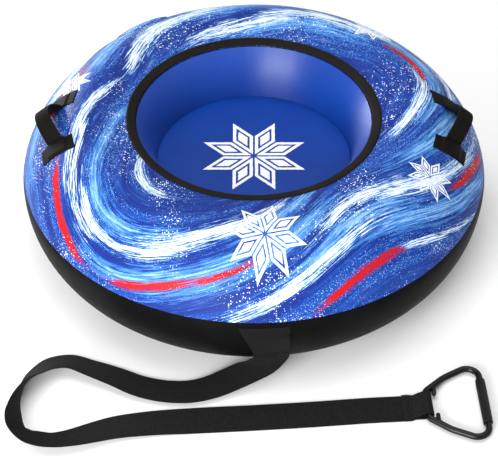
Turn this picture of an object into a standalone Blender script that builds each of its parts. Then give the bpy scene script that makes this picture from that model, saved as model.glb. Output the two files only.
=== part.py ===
"""Inflatable snow tube with two grab handles, a covered valve and a tow strap.

Metres, +Z up. The origin is the centre of the base sheet's underside, on the ground.
-Y is the side that the tow strap leaves from. A section of the tube is three quarter
superellipses, from the crown round the outside to the inner equator, then a seat side
and a rim top that meet at the corner round the opening.
"""
import math

import bmesh
import bpy
import numpy as np
from mathutils import Matrix, Vector

# Driving sizes of the tube
OUTER_RADIUS = 0.400
TUBE_HEIGHT = 0.257
EQUATOR_HEIGHT = 0.130
CROWN_RADIUS = 0.71 * OUTER_RADIUS
INNER_RADIUS = 0.42 * OUTER_RADIUS
BASE_OUTER_RADIUS = 0.74 * OUTER_RADIUS
BASE_INNER_RADIUS = 0.625 * OUTER_RADIUS
SKIN_THICKNESS = 0.0010
CLEARANCE = 0.0003

# How square each quarter of the section is: 2 is a plain ellipse
UPPER_OUTER_POWER = 1.64
LOWER_OUTER_POWER = 1.98
LOWER_INNER_POWER = 2.0

# The corner round the opening, where the printed top and the seat side meet
RIM_CORNER_RADIUS = 0.504 * OUTER_RADIUS
RIM_CORNER_DROP = 0.0135
RIM_CORNER_HEIGHT = TUBE_HEIGHT - RIM_CORNER_DROP
RIM_TOP_POWER = 1.7
SEAT_SIDE_POWER = 2.8

# Seams and sheets
PRINT_LINE_RISE = 0.014
PRINT_LINE_HEIGHT = EQUATOR_HEIGHT + PRINT_LINE_RISE
SEAM_TAPE_REACH = 0.010
SEAM_TAPE_THICKNESS = 0.0008
RIM_BAND_WIDTH = 0.0165
RIM_BAND_EDGE = 0.0018
RIM_BAND_CROWN = 0.0028
SEAT_RISE = 0.025
SEAT_HEIGHT = EQUATOR_HEIGHT + SEAT_RISE
SEAT_THICKNESS = 0.0012
SEAT_FLANGE = 0.012
WELD_RING_TOP = SEAT_HEIGHT - SEAT_THICKNESS - CLEARANCE
BASE_SHEET_RADIUS = 0.7125 * OUTER_RADIUS
BASE_THICKNESS = 0.0012
BASE_TOP = BASE_THICKNESS + CLEARANCE

# How finely the shapes are cut into facets
ROUND_STEPS = 60
SECTION_SAMPLES = 600
INNER_QUARTER_POINTS = 5
SEAT_SIDE_POINTS = 7
OUTER_QUARTER_POINTS = 8
BAND_POINTS = 5
STRIP_POINTS = 3
HANDLE_STATIONS = 13
WEBBING_COLUMNS = 5
TAIL_ROWS = 6
PATCH_COLUMNS = 7
PATCH_SIDE_COLUMNS = 4
BEND_STEPS = 4
WIRE_BEVEL_STEPS = 2
VALVE_STEPS = 28
SMALL_STEPS = 20
PATCH_STEP = 0.010
SLOPE_STEP = 0.001
WELD_DISTANCE = 1e-7
SHARP_ANGLE = math.radians(35)

# Grab handles, one on each side
HANDLE_RADIUS = 0.85 * OUTER_RADIUS
HANDLE_FORWARD_ANGLE = math.radians(1.5)
HANDLE_WEBBING_WIDTH = 0.031
HANDLE_WEBBING_THICKNESS = 0.0022
HANDLE_RISE = 0.036
HANDLE_LEAN = math.radians(56)
HANDLE_ARCH_POWER = 1.15
HANDLE_MOUTH = 0.0420
HANDLE_HINGE = 0.0305
HANDLE_PATCH_ALONG = 0.035
HANDLE_PATCH_ACROSS = 0.068
HANDLE_TAIL_REACH = 0.028
PATCH_THICKNESS = 0.0012
PATCH_RAMP = 0.005
TAIL_MARGIN = 0.0010

# Tow strap and the patch that holds it
STRAP_WIDTH = 0.056
STRAP_THICKNESS = 0.0025
STRAP_STATIONS = 72
TOW_X = 0.031
TOW_MOUTH_HEIGHT = 0.0665
TOW_MOUTH_DROP = 0.0145
TOW_MOUTH_RISE = 0.0065
TOW_PATCH_DROP = 0.010
TOW_PATCH_TOP_HEIGHT = PRINT_LINE_HEIGHT - TOW_PATCH_DROP
TOW_PATCH_TOP_LEFT = -0.026
TOW_PATCH_TOP_RIGHT = 0.058
TOW_TAIL_DROP = 0.022
TOW_TAIL_TOP_HEIGHT = TOW_PATCH_TOP_HEIGHT - TOW_TAIL_DROP
TOW_TAIL_WIDTH = 0.050

# Pull ring on the strap's end, seen from above, from its pivot bar outwards
RING_PIVOT_X = 0.283
RING_FRONT_GAP = 0.049
RING_PIVOT_Y = -OUTER_RADIUS - RING_FRONT_GAP
RING_YAW = math.radians(4)
RING_WIRE_RADIUS = 0.0055
RING_PIVOT_HEIGHT = RING_WIRE_RADIUS + CLEARANCE + STRAP_THICKNESS
RING_HALF_ROOT = 0.030
RING_SHOULDER_OUT = 0.032
RING_HALF_SHOULDER = 0.057
RING_LENGTH = 0.0926
RING_HALF_GRIP = 0.089
RING_ROOT_BEND = 0.009
RING_SHOULDER_BEND = 0.060
RING_GRIP_BEND = 0.020
EAR_START = 0.0105
EAR_END = 0.0175
EAR_INNER = 0.0195
EAR_THICKNESS = 0.007
GRIP_LENGTH = 0.096
GRIP_RADIUS = 0.0080
LOOP_HALF_WIDTH = 0.025
LOOP_TAPER_START = 0.026
LOOP_LAP = 0.040
LOOP_WRAP_ANGLES = (-90, -60, -30, 0, 30, 60, 90, 112)

# Valve, under its cover flap on the far left of the crown
VALVE_ANGLE = math.radians(125.3)
VALVE_RADIUS = 0.8875 * OUTER_RADIUS
CAP_RADIUS = 0.0160
CAP_PLAY = 0.0005
VALVE_RECESS_RADIUS = CAP_RADIUS + CAP_PLAY
VALVE_RECESS_DEPTH = 0.0030
VALVE_WALL = 0.0015
VALVE_NECK_RADIUS = VALVE_RECESS_RADIUS + VALVE_WALL
VALVE_BORE_RADIUS = 0.0125
VALVE_FLANGE_REACH = 0.010
VALVE_FLANGE_RADIUS = VALVE_NECK_RADIUS + VALVE_FLANGE_REACH
VALVE_FLANGE_THICKNESS = 0.0012
VALVE_DEPTH = 0.018
VALVE_FLOOR = 0.0020
VALVE_MOUTH_RADIUS = 0.0105
INSERT_WALL = 0.0030
INSERT_TOP_RADIUS = 0.0150
INSERT_LIP = 0.0010
INSERT_LENGTH = 0.011
SPIDER_THICKNESS = 0.0015
SPIDER_ARM = 0.0022
SPIDER_ARMS = 3
SPIDER_HUB_RADIUS = 0.0034
STEM_RADIUS = 0.0014
STEM_HEAD_RADIUS = 0.0024
STEM_HEAD_HEIGHT = 0.0014
CHECK_DISC_RADIUS = 0.0082
CHECK_DISC_THICKNESS = 0.0008
CHECK_TRAVEL = 0.0015
CAP_HEIGHT = 0.0016
CAP_PLUG_DEPTH = 0.0060
CAP_PLUG_WALL = 0.0014
CAP_GRIP_WIDTH = 0.0030
CAP_GRIP_HEIGHT = 0.0008
TETHER_WIDTH = 0.0050
TETHER_THICKNESS = 0.0006
INSERT_LIP_HEIGHT = TETHER_THICKNESS + 2 * CLEARANCE - VALVE_RECESS_DEPTH
FLAP_HALF_WIDTH = 0.047
FLAP_HALF_HEIGHT = 0.037
FLAP_BARREL_SHARE = 0.35
FLAP_GRID_SHARES = (-1.0, -0.8, -0.5, -0.2, 0.2, 0.5, 0.8, 1.0)
FLAP_THICKNESS = 0.0012
FLAP_RISE = 0.0036
FLAP_ROUND_POWER = 4.0
FLAP_SLOPE_POWER = 1.2
FLAP_WELD_HALF_WIDTH = 0.024
FLAP_WELD_REACH = 0.010
FLAP_HINGE_GAP = 0.0008

# The free strap's route: X, Y from the tube's front edge and Z of its middle line, then
# the way its width points
STRAP_ROUTE = [
    ((0.0310, 0.0138, 0.0654), (1.00, 0.08, 0.00)),
    ((0.0308, 0.0176, 0.0580), (1.00, 0.08, 0.00)),
    ((0.0295, 0.0188, 0.0510), (0.99, -0.07, 0.03)),
    ((0.0245, 0.0182, 0.0440), (0.96, -0.22, 0.06)),
    ((0.0120, 0.0140, 0.0345), (0.86, -0.46, 0.06)),
    ((-0.0110, 0.0100, 0.0240), (0.66, -0.75, 0.05)),
    ((-0.0380, 0.0030, 0.0140), (0.52, -0.85, 0.06)),
    ((-0.0640, -0.0070, 0.0087), (0.42, -0.90, 0.08)),
    ((-0.1000, -0.0160, 0.0052), (0.20, -0.97, 0.10)),
    ((-0.1400, -0.0165, 0.0050), (-0.05, -0.99, 0.12)),
    ((-0.1850, -0.0065, 0.0065), (-0.26, -0.95, 0.17)),
    ((-0.2290, 0.0145, 0.0087), (-0.35, -0.90, 0.26)),
    ((-0.2680, 0.0310, 0.0107), (-0.22, -0.91, 0.33)),
    ((-0.3100, 0.0450, 0.0130), (0.00, -0.92, 0.40)),
    ((-0.3385, 0.0370, 0.0144), (0.34, -0.82, 0.46)),
    ((-0.3540, 0.0200, 0.0180), (0.52, -0.63, 0.58)),
    ((-0.3660, 0.0010, 0.0217), (0.55, -0.42, 0.70)),
    ((-0.3740, -0.0200, 0.0256), (0.40, -0.20, 0.87)),
    ((-0.3790, -0.0450, 0.0284), (0.14, 0.00, 0.99)),
    ((-0.3828, -0.0690, 0.0280), (-0.19, 0.00, 0.98)),
    ((-0.3842, -0.0860, 0.0268), (-0.38, -0.05, 0.92)),
    ((-0.3835, -0.0990, 0.0247), (-0.54, -0.12, 0.83)),
    ((-0.3790, -0.1095, 0.0212), (-0.60, -0.40, 0.69)),
    ((-0.3715, -0.1180, 0.0182), (-0.48, -0.63, 0.60)),
    ((-0.3600, -0.1245, 0.0158), (-0.36, -0.80, 0.48)),
    ((-0.3450, -0.1290, 0.0143), (-0.21, -0.88, 0.42)),
    ((-0.3260, -0.1310, 0.0132), (0.05, -0.90, 0.40)),
    ((-0.2960, -0.1250, 0.0112), (0.28, -0.88, 0.33)),
    ((-0.2650, -0.1130, 0.0087), (0.34, -0.90, 0.24)),
    ((-0.2300, -0.0990, 0.0060), (0.30, -0.94, 0.15)),
    ((-0.1680, -0.0860, 0.0035), (0.12, -0.99, 0.06)),
    ((-0.1000, -0.0790, 0.0018), (0.08, -1.00, 0.00)),
    ((0.0000, -0.0720, 0.0015), (0.07, -1.00, 0.00)),
    ((0.1000, -0.0640, 0.0015), (0.08, -1.00, 0.00)),
    ((0.1900, -0.0555, 0.0015), (0.07, -1.00, 0.00)),
    ((0.2427, -0.0518, 0.0015), (0.07, -1.00, 0.00)),
]


# Scene and material helpers
def clear_scene():
    """Remove what the file starts with."""
    for thing in list(bpy.data.objects):
        bpy.data.objects.remove(thing, do_unlink=True)


def material(name, colour, roughness, metallic=0.0):
    """A Principled material of one colour."""
    made = bpy.data.materials.new(name)
    made.use_nodes = True
    shader = made.node_tree.nodes["Principled BSDF"]
    shader.inputs["Base Color"].default_value = (*colour, 1.0)
    shader.inputs["Roughness"].default_value = roughness
    shader.inputs["Metallic"].default_value = metallic
    return made


def add_object(name, mesh_data, finish, place=Matrix.Identity(4), parent=None):
    """Put a bmesh into the scene as one named object with its faces pointing out."""
    bmesh.ops.remove_doubles(mesh_data, verts=mesh_data.verts, dist=WELD_DISTANCE)
    bmesh.ops.recalc_face_normals(mesh_data, faces=mesh_data.faces)
    if mesh_data.calc_volume(signed=True) < 0:
        bmesh.ops.reverse_faces(mesh_data, faces=mesh_data.faces)
    mesh = bpy.data.meshes.new(name)
    mesh_data.to_mesh(mesh)
    mesh_data.free()
    mesh.shade_smooth()
    mesh.set_sharp_from_angle(angle=SHARP_ANGLE)
    mesh.materials.append(finish)
    thing = bpy.data.objects.new(name, mesh)
    bpy.context.scene.collection.objects.link(thing)
    thing.parent = parent
    thing.matrix_world = place
    return thing


def add_pivot(name, place):
    """An empty that marks a joint's axis with its local Z."""
    pivot = bpy.data.objects.new(name, None)
    bpy.context.scene.collection.objects.link(pivot)
    pivot.matrix_world = place
    return pivot


def combine(thing, helper, operation):
    """Cut a helper solid out of an object, or fuse it on, with an exact Boolean."""
    helper.hide_render = True
    helper.display_type = "WIRE"
    modifier = thing.modifiers.new(operation.lower(), "BOOLEAN")
    modifier.operation = operation
    modifier.solver = "EXACT"
    modifier.object = helper


def cut(thing, helper):
    """Cut a helper solid out of an object."""
    combine(thing, helper, "DIFFERENCE")


def join(thing, helper):
    """Fuse a helper solid onto an object."""
    combine(thing, helper, "UNION")


def spun(profile, steps):
    """Turn a closed profile of (radius, height) points once round the Z axis."""
    mesh_data = bmesh.new()
    verts = [mesh_data.verts.new((radius, 0.0, height)) for radius, height in profile]
    edges = [mesh_data.edges.new((a, b)) for a, b in zip(verts, verts[1:] + verts[:1])]
    bmesh.ops.spin(mesh_data, geom=verts + edges, axis=(0, 0, 1), cent=(0, 0, 0),
                   angle=math.tau, steps=steps, use_merge=True)
    bmesh.ops.remove_doubles(mesh_data, verts=mesh_data.verts, dist=WELD_DISTANCE)
    return mesh_data


def slab(lower, upper):
    """Close the space between two grids of points that lie over each other."""
    mesh_data = bmesh.new()
    rows, columns = len(lower), len(lower[0])
    low = [[mesh_data.verts.new(point) for point in row] for row in lower]
    high = [[mesh_data.verts.new(point) for point in row] for row in upper]
    for i in range(rows - 1):
        for j in range(columns - 1):
            mesh_data.faces.new((low[i][j], low[i][j + 1], low[i + 1][j + 1], low[i + 1][j]))
            mesh_data.faces.new((high[i][j], high[i + 1][j], high[i + 1][j + 1], high[i][j + 1]))
    border = [(i, 0) for i in range(rows)] + [(rows - 1, j) for j in range(1, columns)]
    border += [(i, columns - 1) for i in range(rows - 2, -1, -1)]
    border += [(0, j) for j in range(columns - 2, 0, -1)]
    for (i, j), (k, m) in zip(border, border[1:] + border[:1]):
        mesh_data.faces.new((low[i][j], low[k][m], high[k][m], high[i][j]))
    return mesh_data


def box(low, high):
    """A box between two corners."""
    mesh_data = bmesh.new()
    size = Vector(high) - Vector(low)
    middle = (Vector(high) + Vector(low)) / 2
    place = Matrix.Translation(middle) @ Matrix.Diagonal((*size, 1.0))
    bmesh.ops.create_cube(mesh_data, size=1.0, matrix=place)
    return mesh_data


# The tube's section
def quarter(middle_radius, half_width, half_height, power, angle):
    """A point of a quarter superellipse that stands on the equator's height."""
    radius = middle_radius + half_width * max(math.cos(angle), 0.0) ** (2 / power)
    height = EQUATOR_HEIGHT + half_height * max(math.sin(angle), 0.0) ** (2 / power)
    return radius, height


def upper_outer(angle):
    """The printed side, from the outer equator (0) to the crown (90 degrees)."""
    return quarter(CROWN_RADIUS, OUTER_RADIUS - CROWN_RADIUS,
                   TUBE_HEIGHT - EQUATOR_HEIGHT, UPPER_OUTER_POWER, angle)


def lower_outer(angle):
    """The black side, from the outer equator (0) to the base (90 degrees)."""
    return quarter(BASE_OUTER_RADIUS, OUTER_RADIUS - BASE_OUTER_RADIUS,
                   BASE_TOP - EQUATOR_HEIGHT, LOWER_OUTER_POWER, angle)


def rim_top(radius):
    """The printed side between the rim's corner and the crown, at a radius."""
    share = (CROWN_RADIUS - radius) / (CROWN_RADIUS - RIM_CORNER_RADIUS)
    return radius, TUBE_HEIGHT - RIM_CORNER_DROP * share ** RIM_TOP_POWER


def seat_side(height):
    """The seat side between the inner equator and the rim's corner, at a height."""
    share = (height - EQUATOR_HEIGHT) / (RIM_CORNER_HEIGHT - EQUATOR_HEIGHT)
    return INNER_RADIUS + (RIM_CORNER_RADIUS - INNER_RADIUS) * share ** SEAT_SIDE_POWER, height


def lower_inner(angle):
    """The hidden side, from the inner equator (0) to the base (90 degrees)."""
    return quarter(BASE_INNER_RADIUS, INNER_RADIUS - BASE_INNER_RADIUS,
                   BASE_TOP - EQUATOR_HEIGHT, LOWER_INNER_POWER, angle)


def angle_at_height(height, full_height, power):
    """Where a quarter reaches a height."""
    share = (height - EQUATOR_HEIGHT) / (full_height - EQUATOR_HEIGHT)
    return math.asin(min(max(share, 0.0), 1.0) ** (power / 2))


def stretch(curve, first, last, count):
    """Points of a curve of the section at even steps of what it is given."""
    return [curve(value) for value in np.linspace(first, last, count)]


def shifted(points, distance):
    """The same open profile, moved along its own normals to its left."""
    path = np.array(points)
    along = np.gradient(path, axis=0)
    along /= np.linalg.norm(along, axis=1)[:, None]
    return [tuple(p) for p in path + distance * np.column_stack([-along[:, 1], along[:, 0]])]


def filled(stations):
    """The same stations with others between them, so that none is far from the next."""
    dense = [stations[0]]
    for start, end in zip(stations, stations[1:]):
        count = max(1, math.ceil(abs(end - start) / PATCH_STEP))
        dense += list(np.linspace(start, end, count + 1)[1:])
    return dense


def shell_profile(points, near, far):
    """A closed profile between two distances to the left of an open one."""
    return shifted(points, near) + shifted(points, far)[::-1]


# The outer flank as a surface that patches, handles and the valve lie on
def outer_flank():
    """Radius, height and distance from the crown along the outer side, crown to base."""
    above = stretch(upper_outer, math.pi / 2, 0.0, SECTION_SAMPLES)
    below = stretch(lower_outer, 0.0, math.pi / 2, SECTION_SAMPLES)
    line = np.array(above + below[1:])
    steps = np.linalg.norm(np.diff(line, axis=0), axis=1)
    return line[:, 0], line[:, 1], np.concatenate([[0.0], np.cumsum(steps)])


FLANK_RADIUS, FLANK_HEIGHT, FLANK_ARC = outer_flank()


def arc_at_crown_radius(radius):
    """Distance from the crown where the printed side has this radius."""
    return float(np.interp(radius, FLANK_RADIUS[:SECTION_SAMPLES], FLANK_ARC[:SECTION_SAMPLES]))


def arc_at_flank_height(height):
    """Distance from the crown where the outer side has this height."""
    return float(np.interp(-height, -FLANK_HEIGHT, FLANK_ARC))


def flank_section(arc):
    """Radius, height and outward normal in the section, at a distance from the crown."""
    radius, height = (float(np.interp(arc, FLANK_ARC, v)) for v in (FLANK_RADIUS, FLANK_HEIGHT))
    ahead = [float(np.interp(arc + SLOPE_STEP, FLANK_ARC, v)) for v in (FLANK_RADIUS, FLANK_HEIGHT)]
    behind = [float(np.interp(arc - SLOPE_STEP, FLANK_ARC, v)) for v in (FLANK_RADIUS, FLANK_HEIGHT)]
    slope = Vector((ahead[0] - behind[0], ahead[1] - behind[1])).normalized()
    return radius, height, -slope.y, slope.x


def flank_point(angle, arc, lift):
    """A point over the outer side: round the tube, down from the crown, and off the skin."""
    radius, height, normal_radius, normal_height = flank_section(arc)
    reach = radius + lift * normal_radius
    return Vector((reach * math.cos(angle), reach * math.sin(angle), height + lift * normal_height))


def flank_point_along(middle_angle, along, arc, lift):
    """The same, placed by its straight distance along the tangent at a middle angle."""
    radius, height, normal_radius, normal_height = flank_section(arc)
    reach = radius + lift * normal_radius
    turn = math.asin(along / reach)
    angle = middle_angle + turn
    return Vector((reach * math.cos(angle), reach * math.sin(angle), height + lift * normal_height))


def flank_frame(angle, arc):
    """Origin on the skin, X along the tangent, Y up towards the crown, Z outwards."""
    radius, height, normal_radius, normal_height = flank_section(arc)
    outward = Vector((normal_radius * math.cos(angle), normal_radius * math.sin(angle),
                      normal_height))
    tangent = Vector((-math.sin(angle), math.cos(angle), 0.0))
    uphill = outward.cross(tangent)
    frame = Matrix((tangent, uphill, outward)).transposed().to_4x4()
    frame.translation = (radius * math.cos(angle), radius * math.sin(angle), height)
    return frame


# Skins, sheets and bands
def add_top_skin(finish):
    """The printed skin: from the rim's corner over the crown and down to the print line."""
    line = angle_at_height(PRINT_LINE_HEIGHT + CLEARANCE / 2, TUBE_HEIGHT, UPPER_OUTER_POWER)
    points = stretch(rim_top, RIM_CORNER_RADIUS, CROWN_RADIUS, INNER_QUARTER_POINTS)
    points += stretch(upper_outer, math.pi / 2, line, OUTER_QUARTER_POINTS)[1:]
    skin = spun(shell_profile(points, 0.0, -SKIN_THICKNESS), ROUND_STEPS)
    return add_object("top_skin", skin, finish)


def add_lower_skin(finish):
    """The black skin: from the print line round the outside and in under the tube."""
    line = angle_at_height(PRINT_LINE_HEIGHT - CLEARANCE / 2, TUBE_HEIGHT, UPPER_OUTER_POWER)
    points = [upper_outer(line)]
    points += stretch(lower_outer, 0.0, math.pi / 2, OUTER_QUARTER_POINTS)
    points += [(BASE_INNER_RADIUS + CLEARANCE, BASE_TOP)]
    skin = spun(shell_profile(points, 0.0, -SKIN_THICKNESS), ROUND_STEPS)
    add_object("lower_skin", skin, finish)


def add_seat_wall(finish):
    """The blue wall of the seat well, from under the rim's corner down to the weld ring."""
    rim = RIM_CORNER_HEIGHT - SKIN_THICKNESS - CLEARANCE
    face = stretch(seat_side, rim, WELD_RING_TOP + CLEARANCE, SEAT_SIDE_POINTS)
    wall = spun(shell_profile(face, 0.0, SKIN_THICKNESS), ROUND_STEPS)
    add_object("seat_wall", wall, finish)


def add_seat_weld_ring(finish):
    """The flat ring that the wall and the seat floor are both welded to."""
    edge = seat_side(WELD_RING_TOP)[0]
    inner, outer = edge - SEAT_FLANGE, edge + SKIN_THICKNESS
    low = WELD_RING_TOP - SKIN_THICKNESS
    profile = [(inner, low), (outer, low), (outer, WELD_RING_TOP), (inner, WELD_RING_TOP)]
    add_object("seat_weld_ring", spun(profile, ROUND_STEPS), finish)


def add_seat_floor(finish):
    """The round blue floor that the rider sits on, resting on the weld ring."""
    radius = seat_side(SEAT_HEIGHT)[0] - CLEARANCE
    low = SEAT_HEIGHT - SEAT_THICKNESS
    profile = [(0.0, low), (radius, low), (radius, SEAT_HEIGHT), (0.0, SEAT_HEIGHT)]
    add_object("seat_floor", spun(profile, ROUND_STEPS), finish)


def add_inner_wall(finish):
    """The hidden black wall between the seat's weld ring and the base."""
    points = [seat_side(WELD_RING_TOP - SKIN_THICKNESS - CLEARANCE)]
    points += stretch(lower_inner, 0.0, math.pi / 2, INNER_QUARTER_POINTS)
    wall = spun(shell_profile(points, 0.0, SKIN_THICKNESS), ROUND_STEPS)
    add_object("inner_wall", wall, finish)


def add_base_sheet(finish):
    """The slick round sheet that closes the underside and slides on the snow."""
    profile = [(0.0, 0.0), (BASE_SHEET_RADIUS, 0.0), (BASE_SHEET_RADIUS, BASE_THICKNESS),
               (0.0, BASE_THICKNESS)]
    add_object("base_sheet", spun(profile, ROUND_STEPS), finish)


def add_rim_band(finish):
    """The raised black band welded on the rim's corner, round the opening."""
    ends = (RIM_CORNER_RADIUS, RIM_CORNER_RADIUS + RIM_BAND_WIDTH)
    seat = stretch(rim_top, *ends, STRIP_POINTS)
    low = shifted(seat, CLEARANCE)
    edge = shifted(seat, RIM_BAND_EDGE)
    top = shifted(stretch(rim_top, *ends, BAND_POINTS), RIM_BAND_CROWN)[1:-1]
    profile = low + [edge[-1]] + top[::-1] + [edge[0]]
    add_object("rim_band", spun(profile, ROUND_STEPS), finish)


def add_girth_seam_tape(finish):
    """The tape inside the chamber that joins the printed skin to the black one."""
    reach = arc_at_flank_height(PRINT_LINE_HEIGHT)
    arcs = np.linspace(reach - SEAM_TAPE_REACH, reach + SEAM_TAPE_REACH, STRIP_POINTS)
    points = [flank_section(arc)[:2] for arc in arcs]
    near = -SKIN_THICKNESS - 2 * CLEARANCE
    tape = spun(shell_profile(points, near, near - SEAM_TAPE_THICKNESS), ROUND_STEPS)
    add_object("girth_seam_tape", tape, finish)


# Grab handles
def arch_lift(along):
    """How far the webbing stands off the skin at a distance from the handle's middle."""
    share = min(abs(along) / HANDLE_MOUTH, 1.0)
    return HANDLE_RISE * (1.0 - share ** 2) ** HANDLE_ARCH_POWER


def webbing_grid(middle_angle, stations):
    """Lower and upper points of the handle webbing at each distance along it."""
    middle_arc = arc_at_crown_radius(HANDLE_RADIUS)
    outward = flank_frame(middle_angle, middle_arc).to_3x3().col[2]
    lean = Vector((math.cos(HANDLE_LEAN) * math.cos(middle_angle),
                   math.cos(HANDLE_LEAN) * math.sin(middle_angle), math.sin(HANDLE_LEAN)))
    half = HANDLE_WEBBING_WIDTH / 2
    widths = np.linspace(-half, half, WEBBING_COLUMNS)
    lower, upper = [], []
    for along in stations:
        rise = arch_lift(along + SLOPE_STEP) - arch_lift(along - SLOPE_STEP)
        slope = rise / (2 * SLOPE_STEP)
        thick = HANDLE_WEBBING_THICKNESS * math.hypot(1.0, slope)
        row = [flank_point_along(middle_angle, along, middle_arc + width, CLEARANCE)
               + lean * arch_lift(along) for width in widths]
        lower.append(row)
        upper.append([point + outward * thick for point in row])
    return lower, upper


def add_handle_patch(name, middle_angle, side, finish):
    """A radial patch welded over one end of the handle webbing."""
    middle_arc = arc_at_crown_radius(HANDLE_RADIUS)
    tail = HANDLE_MOUTH + HANDLE_TAIL_REACH
    far = HANDLE_MOUTH + HANDLE_PATCH_ALONG
    alongs = filled([HANDLE_MOUTH, tail + TAIL_MARGIN, far - TAIL_MARGIN, far])
    half = HANDLE_WEBBING_WIDTH / 2 + TAIL_MARGIN
    rim = HANDLE_PATCH_ACROSS / 2
    widths = filled([-rim, -half - PATCH_RAMP, -half, half, half + PATCH_RAMP, rim])
    raised = HANDLE_WEBBING_THICKNESS + 2 * CLEARANCE
    grid = []
    for base in (0.0, PATCH_THICKNESS):
        rows = []
        for along in alongs:
            covers = along <= tail + TAIL_MARGIN + CLEARANCE
            lifts = [raised if covers and abs(w) <= half + CLEARANCE else CLEARANCE for w in widths]
            rows.append([flank_point_along(middle_angle, side * along, middle_arc + w, base + lift)
                         for w, lift in zip(widths, lifts)])
        grid.append(rows)
    add_object(name, slab(*grid), finish)


def add_handle(prefix, middle_angle, webbing, patch):
    """One grab handle: a swinging arch, two sewn ends and the patches over them."""
    stations = np.linspace(-HANDLE_HINGE, HANDLE_HINGE, HANDLE_STATIONS)
    pivot = add_pivot(prefix + "_swing", handle_pivot(middle_angle))
    add_object(prefix + "_strap", slab(*webbing_grid(middle_angle, stations)), webbing,
               parent=pivot)
    start = HANDLE_HINGE + CLEARANCE
    ends = filled([start, (start + HANDLE_MOUTH) / 2, HANDLE_MOUTH - TAIL_MARGIN, HANDLE_MOUTH,
                   HANDLE_MOUTH + HANDLE_TAIL_REACH])
    for place, side in (("front", front_side(middle_angle)), ("back", -front_side(middle_angle))):
        grid = webbing_grid(middle_angle, [side * along for along in ends])
        add_object(f"{prefix}_{place}_end", slab(*grid), webbing)
        add_handle_patch(f"{prefix}_{place}_patch", middle_angle, side, patch)


def front_side(middle_angle):
    """Which way along the tangent leads to the front, -Y."""
    return 1 if math.cos(middle_angle) < 0 else -1


def handle_pivot(middle_angle):
    """The swing axis: along the tangent, through the webbing where the arch begins."""
    middle_arc = arc_at_crown_radius(HANDLE_RADIUS)
    frame = flank_frame(middle_angle, middle_arc)
    lower, upper = webbing_grid(middle_angle, [HANDLE_HINGE])
    centre = WEBBING_COLUMNS // 2
    point = (lower[0][centre] + upper[0][centre]) / 2
    tangent, uphill, outward = frame.to_3x3().col
    axis_frame = Matrix((uphill, outward, tangent)).transposed().to_4x4()
    axis_frame.translation = point - tangent * (point - frame.translation).dot(tangent)
    return axis_frame


# Tow strap, its patch and its end loop
def tow_angle(across, height):
    """The angle round the tube of a place that lies across the front."""
    radius = flank_section(arc_at_flank_height(height))[0]
    return -math.pi / 2 + math.asin(across / radius)


def tow_patch_rows():
    """Each row of the patch: height, drop to the left, lift over the strap and beside it."""
    tail_end = TOW_TAIL_TOP_HEIGHT + TAIL_MARGIN
    raised = STRAP_THICKNESS + 2 * CLEARANCE
    low = TOW_MOUTH_HEIGHT
    rows = [(low, TOW_MOUTH_DROP, TOW_MOUTH_RISE, TOW_MOUTH_RISE),
            (low + PATCH_RAMP / 3, TOW_MOUTH_DROP / 2, TOW_MOUTH_RISE, TOW_MOUTH_RISE),
            (low + PATCH_RAMP / 2, 0.0, TOW_MOUTH_RISE, TOW_MOUTH_RISE / 2)]
    above = filled([low + 2 * PATCH_RAMP, tail_end])
    rows += [(height, 0.0, raised, CLEARANCE) for height in above]
    over = filled([tail_end + PATCH_RAMP, TOW_PATCH_TOP_HEIGHT])
    rows += [(height, 0.0, CLEARANCE, CLEARANCE) for height in over]
    return rows


def add_tow_patch(finish):
    """The tapered patch on the front that holds the strap's sewn end like a pocket."""
    half_mouth = STRAP_WIDTH / 2
    tail = TOW_TAIL_WIDTH / 2 + TAIL_MARGIN
    inside = list(np.linspace(TOW_X - tail, TOW_X + tail, PATCH_COLUMNS)[1:-1])
    grid = []
    for base in (0.0, PATCH_THICKNESS):
        rows = []
        for height, drop, lift_inside, lift_beside in tow_patch_rows():
            share = (height - TOW_MOUTH_HEIGHT) / (TOW_PATCH_TOP_HEIGHT - TOW_MOUTH_HEIGHT)
            left = (1 - share) * (TOW_X - half_mouth) + share * TOW_PATCH_TOP_LEFT
            right = (1 - share) * (TOW_X + half_mouth) + share * TOW_PATCH_TOP_RIGHT
            places = list(np.linspace(left, TOW_X - tail, PATCH_SIDE_COLUMNS)) + inside
            places += list(np.linspace(TOW_X + tail, right, PATCH_SIDE_COLUMNS))
            row = []
            for place in places:
                here = height - drop * (right - place) / (right - left)
                under = abs(place - TOW_X) <= tail + CLEARANCE
                lift = base + (lift_inside if under else lift_beside)
                row.append(flank_point(tow_angle(place, here), arc_at_flank_height(here), lift))
            rows.append(row)
        grid.append(rows)
    add_object("tow_patch", slab(*grid), finish)


def add_tow_strap_tail(finish):
    """The strap's sewn end, lying on the skin under the patch."""
    heights = np.linspace(TOW_MOUTH_HEIGHT + CLEARANCE, TOW_TAIL_TOP_HEIGHT, TAIL_ROWS)
    half = TOW_TAIL_WIDTH / 2
    places = TOW_X + np.linspace(-half, half, WEBBING_COLUMNS)
    grid = [[[flank_point(tow_angle(place, height), arc_at_flank_height(height), lift)
              for place in places] for height in heights]
            for lift in (CLEARANCE, CLEARANCE + STRAP_THICKNESS)]
    add_object("tow_strap_tail", slab(*grid), finish)


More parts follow.
